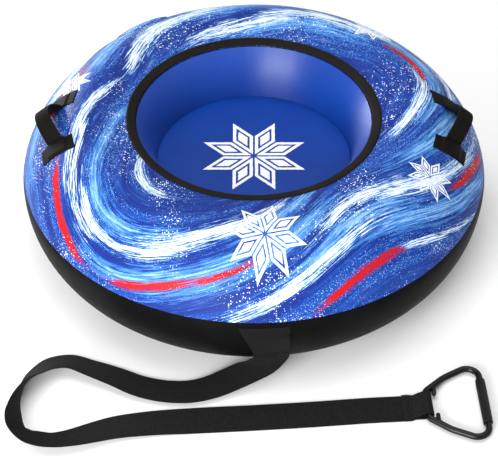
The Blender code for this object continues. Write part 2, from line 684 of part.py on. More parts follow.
def smooth_route(rows, count):
    """Even steps along a cubic that passes through each row, with its first three as place."""
    rows = np.array(rows)
    length = np.concatenate([[0.0], np.cumsum(np.linalg.norm(np.diff(rows[:, :3], axis=0),
                                                             axis=1))])
    slopes = np.gradient(rows, length, axis=0)
    places = np.linspace(0.0, length[-1], count)
    k = np.clip(np.searchsorted(length, places, side="right") - 1, 0, len(length) - 2)
    span = (length[k + 1] - length[k])[:, None]
    t = (places - length[k])[:, None] / span
    return ((2 * t ** 3 - 3 * t ** 2 + 1) * rows[k] + (t ** 3 - 2 * t ** 2 + t) * span * slopes[k]
            + (3 * t ** 2 - 2 * t ** 3) * rows[k + 1] + (t ** 3 - t ** 2) * span * slopes[k + 1])


def add_tow_strap(finish):
    """The free flat webbing, from the patch's mouth to the doubled end."""
    rows = smooth_route([place + width for place, width in STRAP_ROUTE], STRAP_STATIONS)
    middle, across = rows[:, :3] - (0.0, OUTER_RADIUS, 0.0), rows[:, 3:]
    along = np.gradient(middle, axis=0)
    across *= STRAP_WIDTH / 2 / np.linalg.norm(across, axis=1)[:, None]
    normal = np.cross(along, across)
    normal *= STRAP_THICKNESS / 2 / np.linalg.norm(normal, axis=1)[:, None]
    lower = [(m - a - n, m + a - n) for m, a, n in zip(middle, across, normal)]
    upper = [(m - a + n, m + a + n) for m, a, n in zip(middle, across, normal)]
    add_object("tow_strap", slab(lower, upper), finish)


def ring_place():
    """The ring's frame: origin on the pivot bar, X towards the grip, Z up."""
    place = Matrix.Rotation(RING_YAW, 4, "Z")
    place.translation = (RING_PIVOT_X, RING_PIVOT_Y, RING_PIVOT_HEIGHT)
    return place


def add_strap_end_loop(finish):
    """The strap's doubled end: along the floor, round the ring's bar and back on itself."""
    inner = RING_WIRE_RADIUS + CLEARANCE
    outer = inner + STRAP_THICKNESS
    under = STRAP_THICKNESS / 2 - RING_PIVOT_HEIGHT
    over = under + STRAP_THICKNESS + CLEARANCE
    lap = -LOOP_LAP
    wrap = [((inner + outer) / 2 * math.cos(angle), (inner + outer) / 2 * math.sin(angle))
            for angle in np.radians(LOOP_WRAP_ANGLES)]
    route = [(lap, under), (-LOOP_TAPER_START, under)] + wrap
    route += [(-LOOP_TAPER_START, over), (lap, over)]
    line = np.array(route)
    along = np.gradient(line, axis=0)
    along[0] = along[1] = (1.0, 0.0)
    along[-1] = along[-2] = (-1.0, 0.0)
    along /= np.linalg.norm(along, axis=1)[:, None]
    normal = np.column_stack([-along[:, 1], along[:, 0]]) * STRAP_THICKNESS / 2
    grid = []
    for face in (line + normal, line - normal):
        rows = []
        for (x, _), (face_x, face_z) in zip(route, face):
            half = STRAP_WIDTH / 2 if x <= -LOOP_TAPER_START else LOOP_HALF_WIDTH
            rows.append([(face_x, -half, face_z), (face_x, half, face_z)])
        grid.append(rows)
    add_object("strap_end_loop", slab(*grid), finish, place=ring_place())


def rounded_outline(corners, bends, steps):
    """A closed outline whose corners are replaced by arcs of given radii."""
    outline = []
    for i, (corner, bend) in enumerate(zip(corners, bends)):
        here = Vector(corner)
        back = (Vector(corners[i - 1]) - here).normalized()
        ahead = (Vector(corners[(i + 1) % len(corners)]) - here).normalized()
        half = back.angle(ahead) / 2
        middle = here + (back + ahead).normalized() * bend / math.sin(half)
        start = here + back * bend / math.tan(half)
        turn = math.pi - 2 * half
        sense = 1 if back.x * ahead.y - back.y * ahead.x < 0 else -1
        arm = start - middle
        for k in range(steps + 1):
            swing = sense * turn * k / steps
            outline.append(middle + Matrix.Rotation(swing, 2) @ arm)
    return outline


def ring_outline():
    """The middle line of the ring's wire, seen from above."""
    root = (0.0, RING_HALF_ROOT)
    shoulder = (RING_SHOULDER_OUT, RING_HALF_SHOULDER)
    grip = (RING_LENGTH, RING_HALF_GRIP)
    upper = [root, shoulder, grip]
    corners = upper + [(x, -y) for x, y in upper[::-1]]
    bends = [RING_ROOT_BEND, RING_SHOULDER_BEND, RING_GRIP_BEND]
    return rounded_outline(corners, bends + bends[::-1], BEND_STEPS)


def wire_along(name, outline, radius, finish, place):
    """A round wire along a closed outline in the XY plane."""
    curve = bpy.data.curves.new(name, "CURVE")
    curve.dimensions = "3D"
    curve.bevel_depth = radius
    curve.bevel_resolution = WIRE_BEVEL_STEPS
    spline = curve.splines.new("POLY")
    spline.points.add(len(outline) - 1)
    for point, (x, y) in zip(spline.points, outline):
        point.co = (x, y, 0.0, 1.0)
    spline.use_cyclic_u = True
    source = bpy.data.objects.new(name + "_line", curve)
    bpy.context.scene.collection.objects.link(source)
    mesh_data = bmesh.new()
    mesh_data.from_mesh(source.to_mesh())
    bpy.data.objects.remove(source, do_unlink=True)
    return add_object(name, mesh_data, finish, place=place)


def add_pull_ring(finish):
    """The steel ring: a pivot bar, two arms, a hand bar and two ears that keep the webbing."""
    ring = wire_along("pull_ring", ring_outline(), RING_WIRE_RADIUS, finish, ring_place())
    middle = (EAR_START + EAR_END) / 2
    slope = (RING_HALF_SHOULDER - RING_HALF_ROOT) / RING_SHOULDER_OUT
    outer = RING_HALF_ROOT + slope * middle
    for side, word in ((1, "upper"), (-1, "lower")):
        low = (EAR_START, min(side * EAR_INNER, side * outer), -EAR_THICKNESS / 2)
        high = (EAR_END, max(side * EAR_INNER, side * outer), EAR_THICKNESS / 2)
        join(ring, add_object(f"ear_{word}_helper", box(low, high), finish, place=ring_place()))


def add_grip_sleeve(finish):
    """The sleeve that turns on the ring's hand bar."""
    bore = RING_WIRE_RADIUS + CLEARANCE
    half = GRIP_LENGTH / 2
    edge = (GRIP_RADIUS - bore) / 3
    profile = [(bore, -half), (GRIP_RADIUS - edge, -half), (GRIP_RADIUS, -half + edge),
               (GRIP_RADIUS, half - edge), (GRIP_RADIUS - edge, half), (bore, half)]
    turn = Matrix.Rotation(math.pi / 2, 4, "X")
    place = ring_place() @ Matrix.Translation((RING_LENGTH, 0.0, 0.0)) @ turn
    add_object("grip_sleeve", spun(profile, SMALL_STEPS), finish, place=place)


# Valve and its cover flap, built about a Z axis that points out of the skin
def valve_place():
    """The valve's frame on the skin."""
    return flank_frame(VALVE_ANGLE, arc_at_crown_radius(VALVE_RADIUS))


def skin_drop(x, y):
    """How far the curved skin falls below the valve's tangent plane."""
    arc = arc_at_crown_radius(VALVE_RADIUS) - y
    return (valve_place().inverted() @ flank_point_along(VALVE_ANGLE, x, arc, 0.0)).z


def add_valve_base(top_skin, finish):
    """The moulded socket: a flange on the skin and a recessed cup that goes through it."""
    low = CLEARANCE
    deep = -VALVE_DEPTH
    high = low + VALVE_FLANGE_THICKNESS
    middle = (VALVE_NECK_RADIUS + VALVE_FLANGE_RADIUS) / 2
    profile = [(VALVE_NECK_RADIUS, low), (middle, low), (VALVE_FLANGE_RADIUS, low),
               (VALVE_FLANGE_RADIUS, high), (middle, high), (VALVE_RECESS_RADIUS, high),
               (VALVE_RECESS_RADIUS, -VALVE_RECESS_DEPTH), (VALVE_BORE_RADIUS, -VALVE_RECESS_DEPTH),
               (VALVE_BORE_RADIUS, deep + VALVE_FLOOR), (VALVE_MOUTH_RADIUS, deep + VALVE_FLOOR),
               (VALVE_MOUTH_RADIUS, deep), (VALVE_NECK_RADIUS, deep)]
    socket = spun(profile, VALVE_STEPS)
    for vert in socket.verts:
        if vert.co.z > 0.0:
            vert.co.z += skin_drop(vert.co.x, vert.co.y)
    add_object("valve_base", socket, finish, place=valve_place())
    hole = [(0.0, deep), (VALVE_NECK_RADIUS + CLEARANCE, deep),
            (VALVE_NECK_RADIUS + CLEARANCE, VALVE_DEPTH), (0.0, VALVE_DEPTH)]
    cutter = add_object("valve_hole_cutter", spun(hole, VALVE_STEPS), finish, place=valve_place())
    cut(top_skin, cutter)


def add_valve_insert(finish):
    """The screw-in body, with the spider that carries the check disc."""
    outer = VALVE_BORE_RADIUS - CLEARANCE
    inner = outer - INSERT_WALL
    low = INSERT_LIP_HEIGHT - INSERT_LENGTH
    lip_top = INSERT_LIP_HEIGHT + INSERT_LIP
    profile = [(inner, low), (outer, low), (outer, INSERT_LIP_HEIGHT),
               (INSERT_TOP_RADIUS, INSERT_LIP_HEIGHT), (INSERT_TOP_RADIUS, lip_top), (inner, lip_top)]
    body = add_object("valve_insert", spun(profile, VALVE_STEPS), finish, place=valve_place())
    top = low + SPIDER_THICKNESS
    hub = [(STEM_RADIUS + CLEARANCE, low), (SPIDER_HUB_RADIUS, low), (SPIDER_HUB_RADIUS, top),
           (STEM_RADIUS + CLEARANCE, top)]
    join(body, add_object("spider_hub_helper", spun(hub, SMALL_STEPS), finish, place=valve_place()))
    reach = inner + INSERT_WALL / 2
    start = (STEM_RADIUS + SPIDER_HUB_RADIUS) / 2
    for k in range(SPIDER_ARMS):
        arm = box((start, -SPIDER_ARM / 2, low), (reach, SPIDER_ARM / 2, top))
        place = valve_place() @ Matrix.Rotation(math.tau * k / SPIDER_ARMS, 4, "Z")
        join(body, add_object(f"spider_arm_{k}_helper", arm, finish, place=place))


def add_valve_check_disc(finish):
    """The soft disc under the spider, on a stem whose head keeps it in place."""
    seat = INSERT_LIP_HEIGHT - INSERT_LENGTH
    top = seat - CLEARANCE
    neck = seat + SPIDER_THICKNESS + CLEARANCE + CHECK_TRAVEL
    head = neck + STEM_HEAD_HEIGHT
    low = top - CHECK_DISC_THICKNESS
    profile = [(0.0, low), (CHECK_DISC_RADIUS, low), (CHECK_DISC_RADIUS, top), (STEM_RADIUS, top),
               (STEM_RADIUS, neck), (STEM_HEAD_RADIUS, neck), (STEM_RADIUS, head), (0.0, head)]
    add_object("valve_check_disc", spun(profile, SMALL_STEPS), finish, place=valve_place())


def add_valve_cap(finish):
    """The screw cap: a disc with a finger bar and a plug that enters the body."""
    low = INSERT_LIP_HEIGHT + INSERT_LIP + CLEARANCE
    top = low + CAP_HEIGHT
    plug = VALVE_BORE_RADIUS - CLEARANCE - INSERT_WALL - CLEARANCE
    deep = low - CAP_PLUG_DEPTH
    edge = CAP_HEIGHT / 3
    profile = [(0.0, low), (plug - CAP_PLUG_WALL, low), (plug - CAP_PLUG_WALL, deep), (plug, deep),
               (plug, low), (CAP_RADIUS, low), (CAP_RADIUS, top - edge), (CAP_RADIUS - edge, top),
               (0.0, top)]
    cap = add_object("valve_cap", spun(profile, VALVE_STEPS), finish, place=valve_place())
    bar = box((-CAP_RADIUS + 2 * edge, -CAP_GRIP_WIDTH / 2, top - edge),
              (CAP_RADIUS - 2 * edge, CAP_GRIP_WIDTH / 2, top + CAP_GRIP_HEIGHT))
    join(cap, add_object("cap_bar_helper", bar, finish, place=valve_place()))


def add_valve_tether(finish):
    """The soft ring under the insert's lip, with a tab that lets it be pulled out."""
    low = CLEARANCE - VALVE_RECESS_DEPTH
    top = low + TETHER_THICKNESS
    inner = VALVE_BORE_RADIUS + CLEARANCE
    outer = INSERT_TOP_RADIUS + TETHER_THICKNESS
    ring = [(inner, low), (outer, low), (outer, top), (inner, top)]
    tether = add_object("valve_tether", spun(ring, VALVE_STEPS), finish, place=valve_place())
    tab = box((-TETHER_WIDTH / 2, inner + TETHER_THICKNESS, low),
              (TETHER_WIDTH / 2, VALVE_RECESS_RADIUS - CLEARANCE, top))
    join(tether, add_object("tether_tab_helper", tab, finish, place=valve_place()))


def flap_half_width(down):
    """The flap's half width at a distance below its middle."""
    return FLAP_HALF_WIDTH * (1 - FLAP_BARREL_SHARE * abs(down / FLAP_HALF_HEIGHT) ** 4)


def flap_lift(across_share, down_share):
    """How far the flap bulges over the valve."""
    swell = (1 - abs(across_share) ** FLAP_ROUND_POWER) * (1 - abs(down_share) ** FLAP_ROUND_POWER)
    return FLAP_RISE * swell ** FLAP_SLOPE_POWER


def flap_axis_place():
    """The flap's hinge: along its lower edge, just over its outer face."""
    arc = arc_at_crown_radius(VALVE_RADIUS) + FLAP_HALF_HEIGHT + FLAP_HINGE_GAP / 2
    frame = flank_frame(VALVE_ANGLE, arc)
    tangent, uphill, outward = frame.to_3x3().col
    place = Matrix((uphill, outward, tangent)).transposed().to_4x4()
    place.translation = frame.translation + outward * (2 * CLEARANCE + FLAP_THICKNESS)
    return place


def add_valve_flap(finish):
    """The printed cover that swells over the valve and opens from its upper edge."""
    middle = arc_at_crown_radius(VALVE_RADIUS)
    grid = []
    for base in (CLEARANCE, CLEARANCE + FLAP_THICKNESS):
        rows = []
        for down_share in FLAP_GRID_SHARES:
            down = down_share * FLAP_HALF_HEIGHT
            half = flap_half_width(down)
            rows.append([flank_point_along(VALVE_ANGLE, share * half, middle + down,
                                           base + flap_lift(share, down_share))
                         for share in FLAP_GRID_SHARES])
        grid.append(rows)
    pivot = add_pivot("valve_flap_axis", flap_axis_place())
    add_object("valve_flap", slab(*grid), finish, parent=pivot)


def add_flap_weld(finish):
    """The strip that fastens the flap's lower edge to the skin."""
    start = arc_at_crown_radius(VALVE_RADIUS) + FLAP_HALF_HEIGHT + FLAP_HINGE_GAP
    arcs = np.linspace(start, start + FLAP_WELD_REACH, STRIP_POINTS)
    places = np.linspace(-FLAP_WELD_HALF_WIDTH, FLAP_WELD_HALF_WIDTH, WEBBING_COLUMNS)
    grid = [[[flank_point_along(VALVE_ANGLE, place, arc, lift) for place in places]
             for arc in arcs] for lift in (CLEARANCE, CLEARANCE + FLAP_THICKNESS)]
    add_object("valve_flap_weld", slab(*grid), finish)


def build():
    """Make every piece of the tube."""
    clear_scene()
    printed = material("printed_pvc", (0.08, 0.20, 0.72), 0.32)
    blue = material("blue_pvc", (0.02, 0.08, 0.45), 0.38)
    black = material("black_pvc", (0.012, 0.012, 0.013), 0.55)
    band = material("rim_band_pvc", (0.016, 0.014, 0.012), 0.60)
    webbing = material("black_webbing", (0.014, 0.014, 0.014), 0.80)
    steel = material("coated_steel", (0.020, 0.020, 0.021), 0.35, 0.6)
    rubber = material("grip_rubber", (0.013, 0.013, 0.013), 0.65)
    moulded = material("valve_plastic", (0.03, 0.03, 0.032), 0.45)
    top_skin = add_top_skin(printed)
    add_lower_skin(black)
    add_seat_wall(blue)
    add_seat_weld_ring(blue)
    add_seat_floor(blue)
    add_inner_wall(black)
    add_base_sheet(black)
    add_rim_band(band)
    add_girth_seam_tape(black)
    add_handle("left_handle", math.pi + HANDLE_FORWARD_ANGLE, webbing, band)
    add_handle("right_handle", -HANDLE_FORWARD_ANGLE, webbing, band)
    add_tow_patch(black)
    add_tow_strap_tail(webbing)
    add_tow_strap(webbing)
    add_strap_end_loop(webbing)
    add_pull_ring(steel)
    add_grip_sleeve(rubber)
    add_valve_base(top_skin, moulded)
    add_valve_insert(moulded)
    add_valve_check_disc(rubber)
    add_valve_cap(moulded)
    add_valve_tether(rubber)
    add_valve_flap(printed)
    add_flap_weld(printed)


build()
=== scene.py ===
# %% [markdown]
# # An inflated snow tube with a tow strap
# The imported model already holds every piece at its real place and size. This lesson dresses it: each
# plain solid is replaced by a fine surface that follows the same formula, and each finish is a node
# material. The frame comes first, because nothing here may move or resize what it gives.

# %% Load the frame and note its box
import math
import bmesh
import bpy
import numpy as np
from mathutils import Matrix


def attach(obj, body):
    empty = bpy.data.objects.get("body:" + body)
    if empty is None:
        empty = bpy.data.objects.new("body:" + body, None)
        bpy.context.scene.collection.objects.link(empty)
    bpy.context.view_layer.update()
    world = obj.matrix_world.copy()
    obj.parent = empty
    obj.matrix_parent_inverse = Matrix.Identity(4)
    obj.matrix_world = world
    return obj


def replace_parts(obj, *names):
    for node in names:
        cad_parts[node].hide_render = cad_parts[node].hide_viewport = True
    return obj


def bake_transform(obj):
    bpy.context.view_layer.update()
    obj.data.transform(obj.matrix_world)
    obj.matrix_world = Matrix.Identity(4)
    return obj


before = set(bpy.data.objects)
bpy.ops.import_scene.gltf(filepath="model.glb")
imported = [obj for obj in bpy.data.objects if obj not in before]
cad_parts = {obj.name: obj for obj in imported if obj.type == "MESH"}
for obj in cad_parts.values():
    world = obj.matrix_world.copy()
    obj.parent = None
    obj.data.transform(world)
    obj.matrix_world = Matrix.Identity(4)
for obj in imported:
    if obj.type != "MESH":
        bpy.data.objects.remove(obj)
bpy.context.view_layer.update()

# %% [markdown]
# ## Camera
# The photograph looks down on the tube from about 42 degrees. A short lens close by would swell the
# near side, so a long lens from four metres away is used, which gives the same flat ellipses as the
# photograph. It comes before the pieces, because the cord's check asks what the camera sees.

# %% Camera
CAMERA_DISTANCE = 4.0
CAMERA_PITCH = math.radians(42.063)
CAMERA_LENS_MM = 162.5
CAMERA_SHIFT = (-0.0098, -0.0146)


def new_object(name, data):
    """An object that holds this data, unturned at the origin."""
    thing = bpy.data.objects.new(name, data)
    bpy.context.scene.collection.objects.link(thing)
    return thing


camera = new_object("camera", bpy.data.cameras.new("camera"))
camera.data.lens = CAMERA_LENS_MM
camera.data.shift_x, camera.data.shift_y = CAMERA_SHIFT
camera.location = (0.0, -CAMERA_DISTANCE * math.cos(CAMERA_PITCH),
                   CAMERA_DISTANCE * math.sin(CAMERA_PITCH))
camera.rotation_euler = (math.pi / 2 - CAMERA_PITCH, 0.0, 0.0)
bpy.context.scene.camera = camera
print("camera at", tuple(round(value, 3) for value in camera.location))

# %% [markdown]
# ## Surfaces from arrays
# Film and webbing are sheets, so every new piece is a grid of points: rows run one way over the
# surface and columns the other. Modelling tools could push such sheets about by hand, but with numpy
# the whole grid is worked out at once from a formula. A grid can be closed either way, so a turned
# shell is closed both ways, and a strip of webbing is closed round its section.

# %% Grid helpers
WELD_DISTANCE = 1e-6
SHARP_ANGLE = math.radians(38)


def grid_faces(rows, columns, close_rows, close_columns):
    """Corner numbers of each cell: (i, j), (i, j+1), (i+1, j+1), (i+1, j), wrapped where closed."""
    i, j = np.meshgrid(np.arange(rows if close_rows else rows - 1),
                       np.arange(columns if close_columns else columns - 1), indexing="ij")
    below, right = (i + 1) % rows, (j + 1) % columns
    corners = [i * columns + j, i * columns + right, below * columns + right, below * columns + j]
    return np.stack(corners, axis=-1).reshape(-1, 4)


def cell_uv(u, v):
    """The same corners' coordinates in metres, read from the values along rows and columns."""
    i, j = np.meshgrid(np.arange(len(u) - 1), np.arange(len(v) - 1), indexing="ij")
    corners = [(u[i], v[j]), (u[i], v[j + 1]), (u[i + 1], v[j + 1]), (u[i + 1], v[j])]
    return np.stack([np.stack(pair, axis=-1) for pair in corners], axis=-2).reshape(-1, 4, 2)


def weld(mesh, turn_outwards=False):
    """Merge the points that coincide, which closes seams and poles, and shade the mesh smooth."""
    work = bmesh.new()
    work.from_mesh(mesh)
    bmesh.ops.remove_doubles(work, verts=work.verts, dist=WELD_DISTANCE)
    if turn_outwards:
        bmesh.ops.recalc_face_normals(work, faces=work.faces)
    work.to_mesh(mesh)
    work.free()
    mesh.shade_smooth()


def surface(name, points, u, v, close_rows=False, close_columns=False):
    """An object from a (rows, columns, 3) grid, with a UV map in metres.

    Six times the signed volume is the sum of a . (b x c) over two triangles of each cell. Where it is
    negative the corners are listed the other way round, so the faces always point outwards.
    """
    flat = points.reshape(-1, 3)
    faces = grid_faces(*points.shape[:2], close_rows, close_columns)
    uv = cell_uv(np.asarray(u, float), np.asarray(v, float))
    a, b, c, d = (flat[faces[:, k]] for k in range(4))
    if np.sum(a * np.cross(b, c)) + np.sum(a * np.cross(c, d)) < 0:
        faces, uv = faces[:, ::-1], uv[:, ::-1]
    mesh = bpy.data.meshes.new(name)
    mesh.from_pydata(flat.tolist(), [], faces.tolist())
    mesh.uv_layers.new(name="metres").data.foreach_set("uv", uv.ravel())
    weld(mesh)
    mesh.set_sharp_from_angle(angle=SHARP_ANGLE)
    return new_object(name, mesh)


def lengths_along(points):
    """Distance from the first point to each point of a line."""
    return np.concatenate([[0.0], np.cumsum(np.linalg.norm(np.diff(points, axis=0), axis=1))])


def slab(name, lower, upper, u, v):
    """The closed body between two grids: round its section it runs over the lower one and back over
    the upper one, and at each end both come together on the grid halfway between them."""
    middle = (lower + upper) / 2
    ring = np.concatenate([lower, upper[:, ::-1]], axis=1)
    first, last = (np.concatenate([middle[k], middle[k][::-1]])[None] for k in (0, -1))
    around = np.concatenate([v, v[::-1], v[:1]])
    return surface(name, np.concatenate([first, ring, last]), np.concatenate([u[:1], u, u[-1:]]),
                   around, close_columns=True)


print("grid of 3 x 4 points, closed round:", len(grid_faces(3, 4, False, True)), "faces")

# %% [markdown]
# ## The tube's section
# An inflated ring isn't a true torus, so Blender's own torus won't do. The blue seat pulls its inner
# side upright and makes a corner at the rim, and the flat base pulls its foot inwards. The outer side
# is two quarter superellipses. The rim and the seat side are two simple powers, so that the band on
# the corner lies nearly level. One line made of all four is then read by distance from the crown.

# %% Section of the tube
EQUATOR_HEIGHT = 0.130
TUBE_HEIGHT = 0.257
OUTER_RADIUS = 0.400
CROWN_RADIUS = 0.284
INNER_RADIUS = 0.168
BASE_OUTER_RADIUS = 0.296
BASE_INNER_RADIUS = 0.250
BASE_THICKNESS = 0.0012
CLEARANCE = 0.0003
BASE_TOP = BASE_THICKNESS + CLEARANCE
RIM_CORNER_RADIUS = 0.2016
RIM_CORNER_HEIGHT = 0.2435
RIM_TOP_POWER = 1.7
SEAT_SIDE_POWER = 2.8
PRINT_SIDE_POWER = 1.64
BLACK_SIDE_POWER = 1.98
HIDDEN_SIDE_POWER = 2.0
SECTION_SAMPLES = 900
SLOPE_STEP = 0.001


def quarter(middle, end_radius, end_height, power, turn):
    """Radius = middle + half width * cos(turn)^(2/power), and height = equator + half height *
    sin(turn)^(2/power), so a power of 2 is a plain ellipse and more is squarer."""
    radius = middle + (end_radius - middle) * np.cos(turn).clip(0) ** (2 / power)
    height = EQUATOR_HEIGHT + (end_height - EQUATOR_HEIGHT) * np.sin(turn).clip(0) ** (2 / power)
    return np.column_stack([radius, height])


def seat_side(height):
    """Radius = inner + (corner - inner) * share^power, where the share of the height goes from 0 at
    the equator to 1 at the rim's corner."""
    share = (height - EQUATOR_HEIGHT) / (RIM_CORNER_HEIGHT - EQUATOR_HEIGHT)
    radius = INNER_RADIUS + (RIM_CORNER_RADIUS - INNER_RADIUS) * share ** SEAT_SIDE_POWER
    return np.column_stack([radius, height])


def rim_top(radius):
    """Height = crown - drop * share^power, where the share goes from 0 at the crown to 1 at the
    rim's corner."""
    share = (CROWN_RADIUS - radius) / (CROWN_RADIUS - RIM_CORNER_RADIUS)
    height = TUBE_HEIGHT - (TUBE_HEIGHT - RIM_CORNER_HEIGHT) * share ** RIM_TOP_POWER
    return np.column_stack([radius, height])


rising = np.linspace(0.0, math.pi / 2, SECTION_SAMPLES)
wall_side = seat_side(np.linspace(EQUATOR_HEIGHT, RIM_CORNER_HEIGHT, SECTION_SAMPLES // 2))
rim_side = rim_top(np.linspace(RIM_CORNER_RADIUS, CROWN_RADIUS, SECTION_SAMPLES // 2 + 1))
print_side = quarter(CROWN_RADIUS, OUTER_RADIUS, TUBE_HEIGHT, PRINT_SIDE_POWER, rising[::-1])
black_side = quarter(BASE_OUTER_RADIUS, OUTER_RADIUS, BASE_TOP, BLACK_SIDE_POWER, rising)
hidden_side = quarter(BASE_INNER_RADIUS, INNER_RADIUS, BASE_TOP, HIDDEN_SIDE_POWER, rising)
SECTION = np.concatenate([wall_side, rim_side[1:], print_side[1:], black_side[1:]])
SECTION_ARC = lengths_along(SECTION)
SECTION_ARC -= SECTION_ARC[SECTION_SAMPLES - 1]
print("section from the seat's foot to the base, over the crown:",
      round(SECTION_ARC[-1] - SECTION_ARC[0], 3), "m")


# %% Places on the section
def section_at(arc):
    """Radius, height and outward normal of the section, at a signed distance from the crown that is
    positive on the outer side. The normal is the tangent turned a quarter to its left."""
    places = [[np.interp(arc + step, SECTION_ARC, SECTION[:, k]) for k in (0, 1)]
              for step in (0.0, SLOPE_STEP, -SLOPE_STEP)]
    (radius, height), ahead, behind = places
    run, climb = ahead[0] - behind[0], ahead[1] - behind[1]
    size = np.hypot(run, climb)
    return radius, height, -climb / size, run / size


def outer_arc(radius):
    """Distance from the crown, on the printed side, where the section has this radius."""
    span = slice(SECTION_SAMPLES - 1, 2 * SECTION_SAMPLES - 1)
    return float(np.interp(radius, SECTION[span, 0], SECTION_ARC[span]))


def flank_arc(height):
    """Distance from the crown, on the outer side, where the section has this height."""
    outside = slice(SECTION_SAMPLES - 1, None)
    return np.interp(-np.asarray(height), -SECTION[outside, 1], SECTION_ARC[outside])


def skin_point(angle, arc, lift):
    """A point over the skin: round the tube, away from the crown, and off the skin."""
    radius, height, normal_radius, normal_height = section_at(arc)
    reach = radius + lift * normal_radius
    return np.stack(np.broadcast_arrays(reach * np.cos(angle), reach * np.sin(angle),
                                        height + lift * normal_height), axis=-1)


def skin_faces(middle_angle, along, arc, lift, thick):
    """Both faces of a layer on the skin: the same, at lift and at lift + thick, and placed by their
    straight distance along the tangent at a middle angle."""
    radius, _, normal_radius, _ = section_at(arc)
    return [skin_point(middle_angle + np.arcsin(along / (radius + height * normal_radius)), arc, height)
            for height in (lift, lift + thick)]


def skin_frame(angle, arc):
    """Origin on the skin, and unit vectors along the tangent, up to the crown and outwards."""
    radius, height, normal_radius, normal_height = (float(value) for value in section_at(arc))
    turned_out = np.array([math.cos(angle), math.sin(angle), 0.0])
    outward = normal_radius * turned_out + np.array([0.0, 0.0, normal_height])
    tangent = np.array([-math.sin(angle), math.cos(angle), 0.0])
    origin = radius * turned_out + np.array([0.0, 0.0, height])
    return origin, tangent, np.cross(outward, tangent), outward


def smooth_step(value):
    """0 below 0, 1 above 1, and 3 t^2 - 2 t^3 between them."""
    share = np.clip(value, 0.0, 1.0)
    return share * share * (3 - 2 * share)


print("from the crown to the equator:", round(float(flank_arc(EQUATOR_HEIGHT)), 3), "m")

# %% [markdown]
# ## Turned shells
# Each sheet of the tube is a thin wall turned once round the upright axis. A screw modifier could
# turn it, but could not vary it on the way round. Welded seams never lie quite flat: the film puckers
# a little beside them. So each point of the profile carries a share of a wave that runs round the
# tube, strong at a seam and gone a few centimetres away.

# %% Turned shell helper
PUCKER_COUNTS = (41, 67, 103)
PUCKER_HEIGHT = 0.00022
PUCKER_REACH = 0.012


def offset_line(line, distance):
    """An open profile moved along its own normals, to its left."""
    along = np.gradient(line, axis=0)
    along /= np.linalg.norm(along, axis=1)[:, None]
    return line + distance * np.column_stack([-along[:, 1], along[:, 0]])


def turned(name, profile, steps, relief=0.0, closed=True):
    """A (radius, height) profile turned round Z: x = r cos, y = r sin. A relief of (steps, points)
    is added to the radius first. A profile that isn't closed starts and ends on the axis."""
    angle = np.linspace(0.0, math.tau, steps, endpoint=False)[:, None]
    radius = np.broadcast_to(profile[:, 0] + relief, (steps, len(profile)))
    height = np.broadcast_to(profile[:, 1], radius.shape)
    points = np.stack([radius * np.cos(angle), radius * np.sin(angle), height], axis=-1)
    loop = np.concatenate([profile, profile[:1]]) if closed else profile
    around = np.linspace(0.0, math.tau, steps + 1) * profile[:, 0].mean()
    return surface(name, points, around, lengths_along(loop), True, closed)


def shell(name, line, thickness, steps, seam_shares=(1, 1)):
    """A wall between a line and the same line moved to its left, or to its right where the thickness
    is negative. Its relief is the wave round the tube times seam share * exp(-distance / reach),
    added up for the line's first and last end."""
    profile = np.concatenate([line, offset_line(line, thickness)[::-1]])
    distance = lengths_along(line)
    near = (seam_shares[0] * np.exp(-distance / PUCKER_REACH)
            + seam_shares[1] * np.exp((distance - distance[-1]) / PUCKER_REACH))
    angle = np.linspace(0.0, math.tau, steps, endpoint=False)
    wave = sum(np.sin(count * angle + count) for count in PUCKER_COUNTS) / len(PUCKER_COUNTS)
    relief = PUCKER_HEIGHT * wave[:, None] * np.concatenate([near, near[::-1]])
    return turned(name, profile, steps, relief)


print("a pucker stands about", PUCKER_HEIGHT, "m off the sheet at most")

# %% [markdown]
# ## The skins
# The chamber is made of sheets: a printed top from the rim seam over the crown to the print line, a
# black outside from there to the base, and a blue wall that drops into the seat. Turning them is
# exact and quick. A cloth simulation would only blur the seams where two colours meet.

# %% Skins of the air chamber
SKIN_THICKNESS = 0.0010
PRINT_LINE_HEIGHT = 0.144
ROUND_STEPS = 320
PRINT_ROWS = 72
BLACK_ROWS = 60


def section_line(first_arc, last_arc, count):
    """Even steps along the section, as radius and height."""
    return np.column_stack(section_at(np.linspace(first_arc, last_arc, count))[:2])


rim_arc = float(SECTION_ARC[len(wall_side) - 1])
print_arc = float(flank_arc(PRINT_LINE_HEIGHT))
top_line = section_line(rim_arc, print_arc - CLEARANCE / 2, PRINT_ROWS)
printed_top = shell("printed_top", top_line, -SKIN_THICKNESS, ROUND_STEPS)
side_line = section_line(print_arc + CLEARANCE / 2, SECTION_ARC[-1], BLACK_ROWS)
side_line = np.concatenate([side_line, [[BASE_INNER_RADIUS + CLEARANCE, BASE_TOP]]])
black_outside = shell("black_outside", side_line, -SKIN_THICKNESS, ROUND_STEPS, (1, 0))
print("printed sheet is", round(print_arc - rim_arc, 3), "m wide along the section")

# %% Seat well and the wall under it
SEAT_HEIGHT = 0.155
SEAT_THICKNESS = 0.0012
SEAT_FLANGE = 0.012
WELL_ROWS = 40
HIDDEN_ROWS = 8
HIDDEN_STRIDE = 20
HIDDEN_STEPS = 96


def seat_radius(height):
    """Radius of the seat's side at one height."""
    return float(seat_side(height)[0, 0])


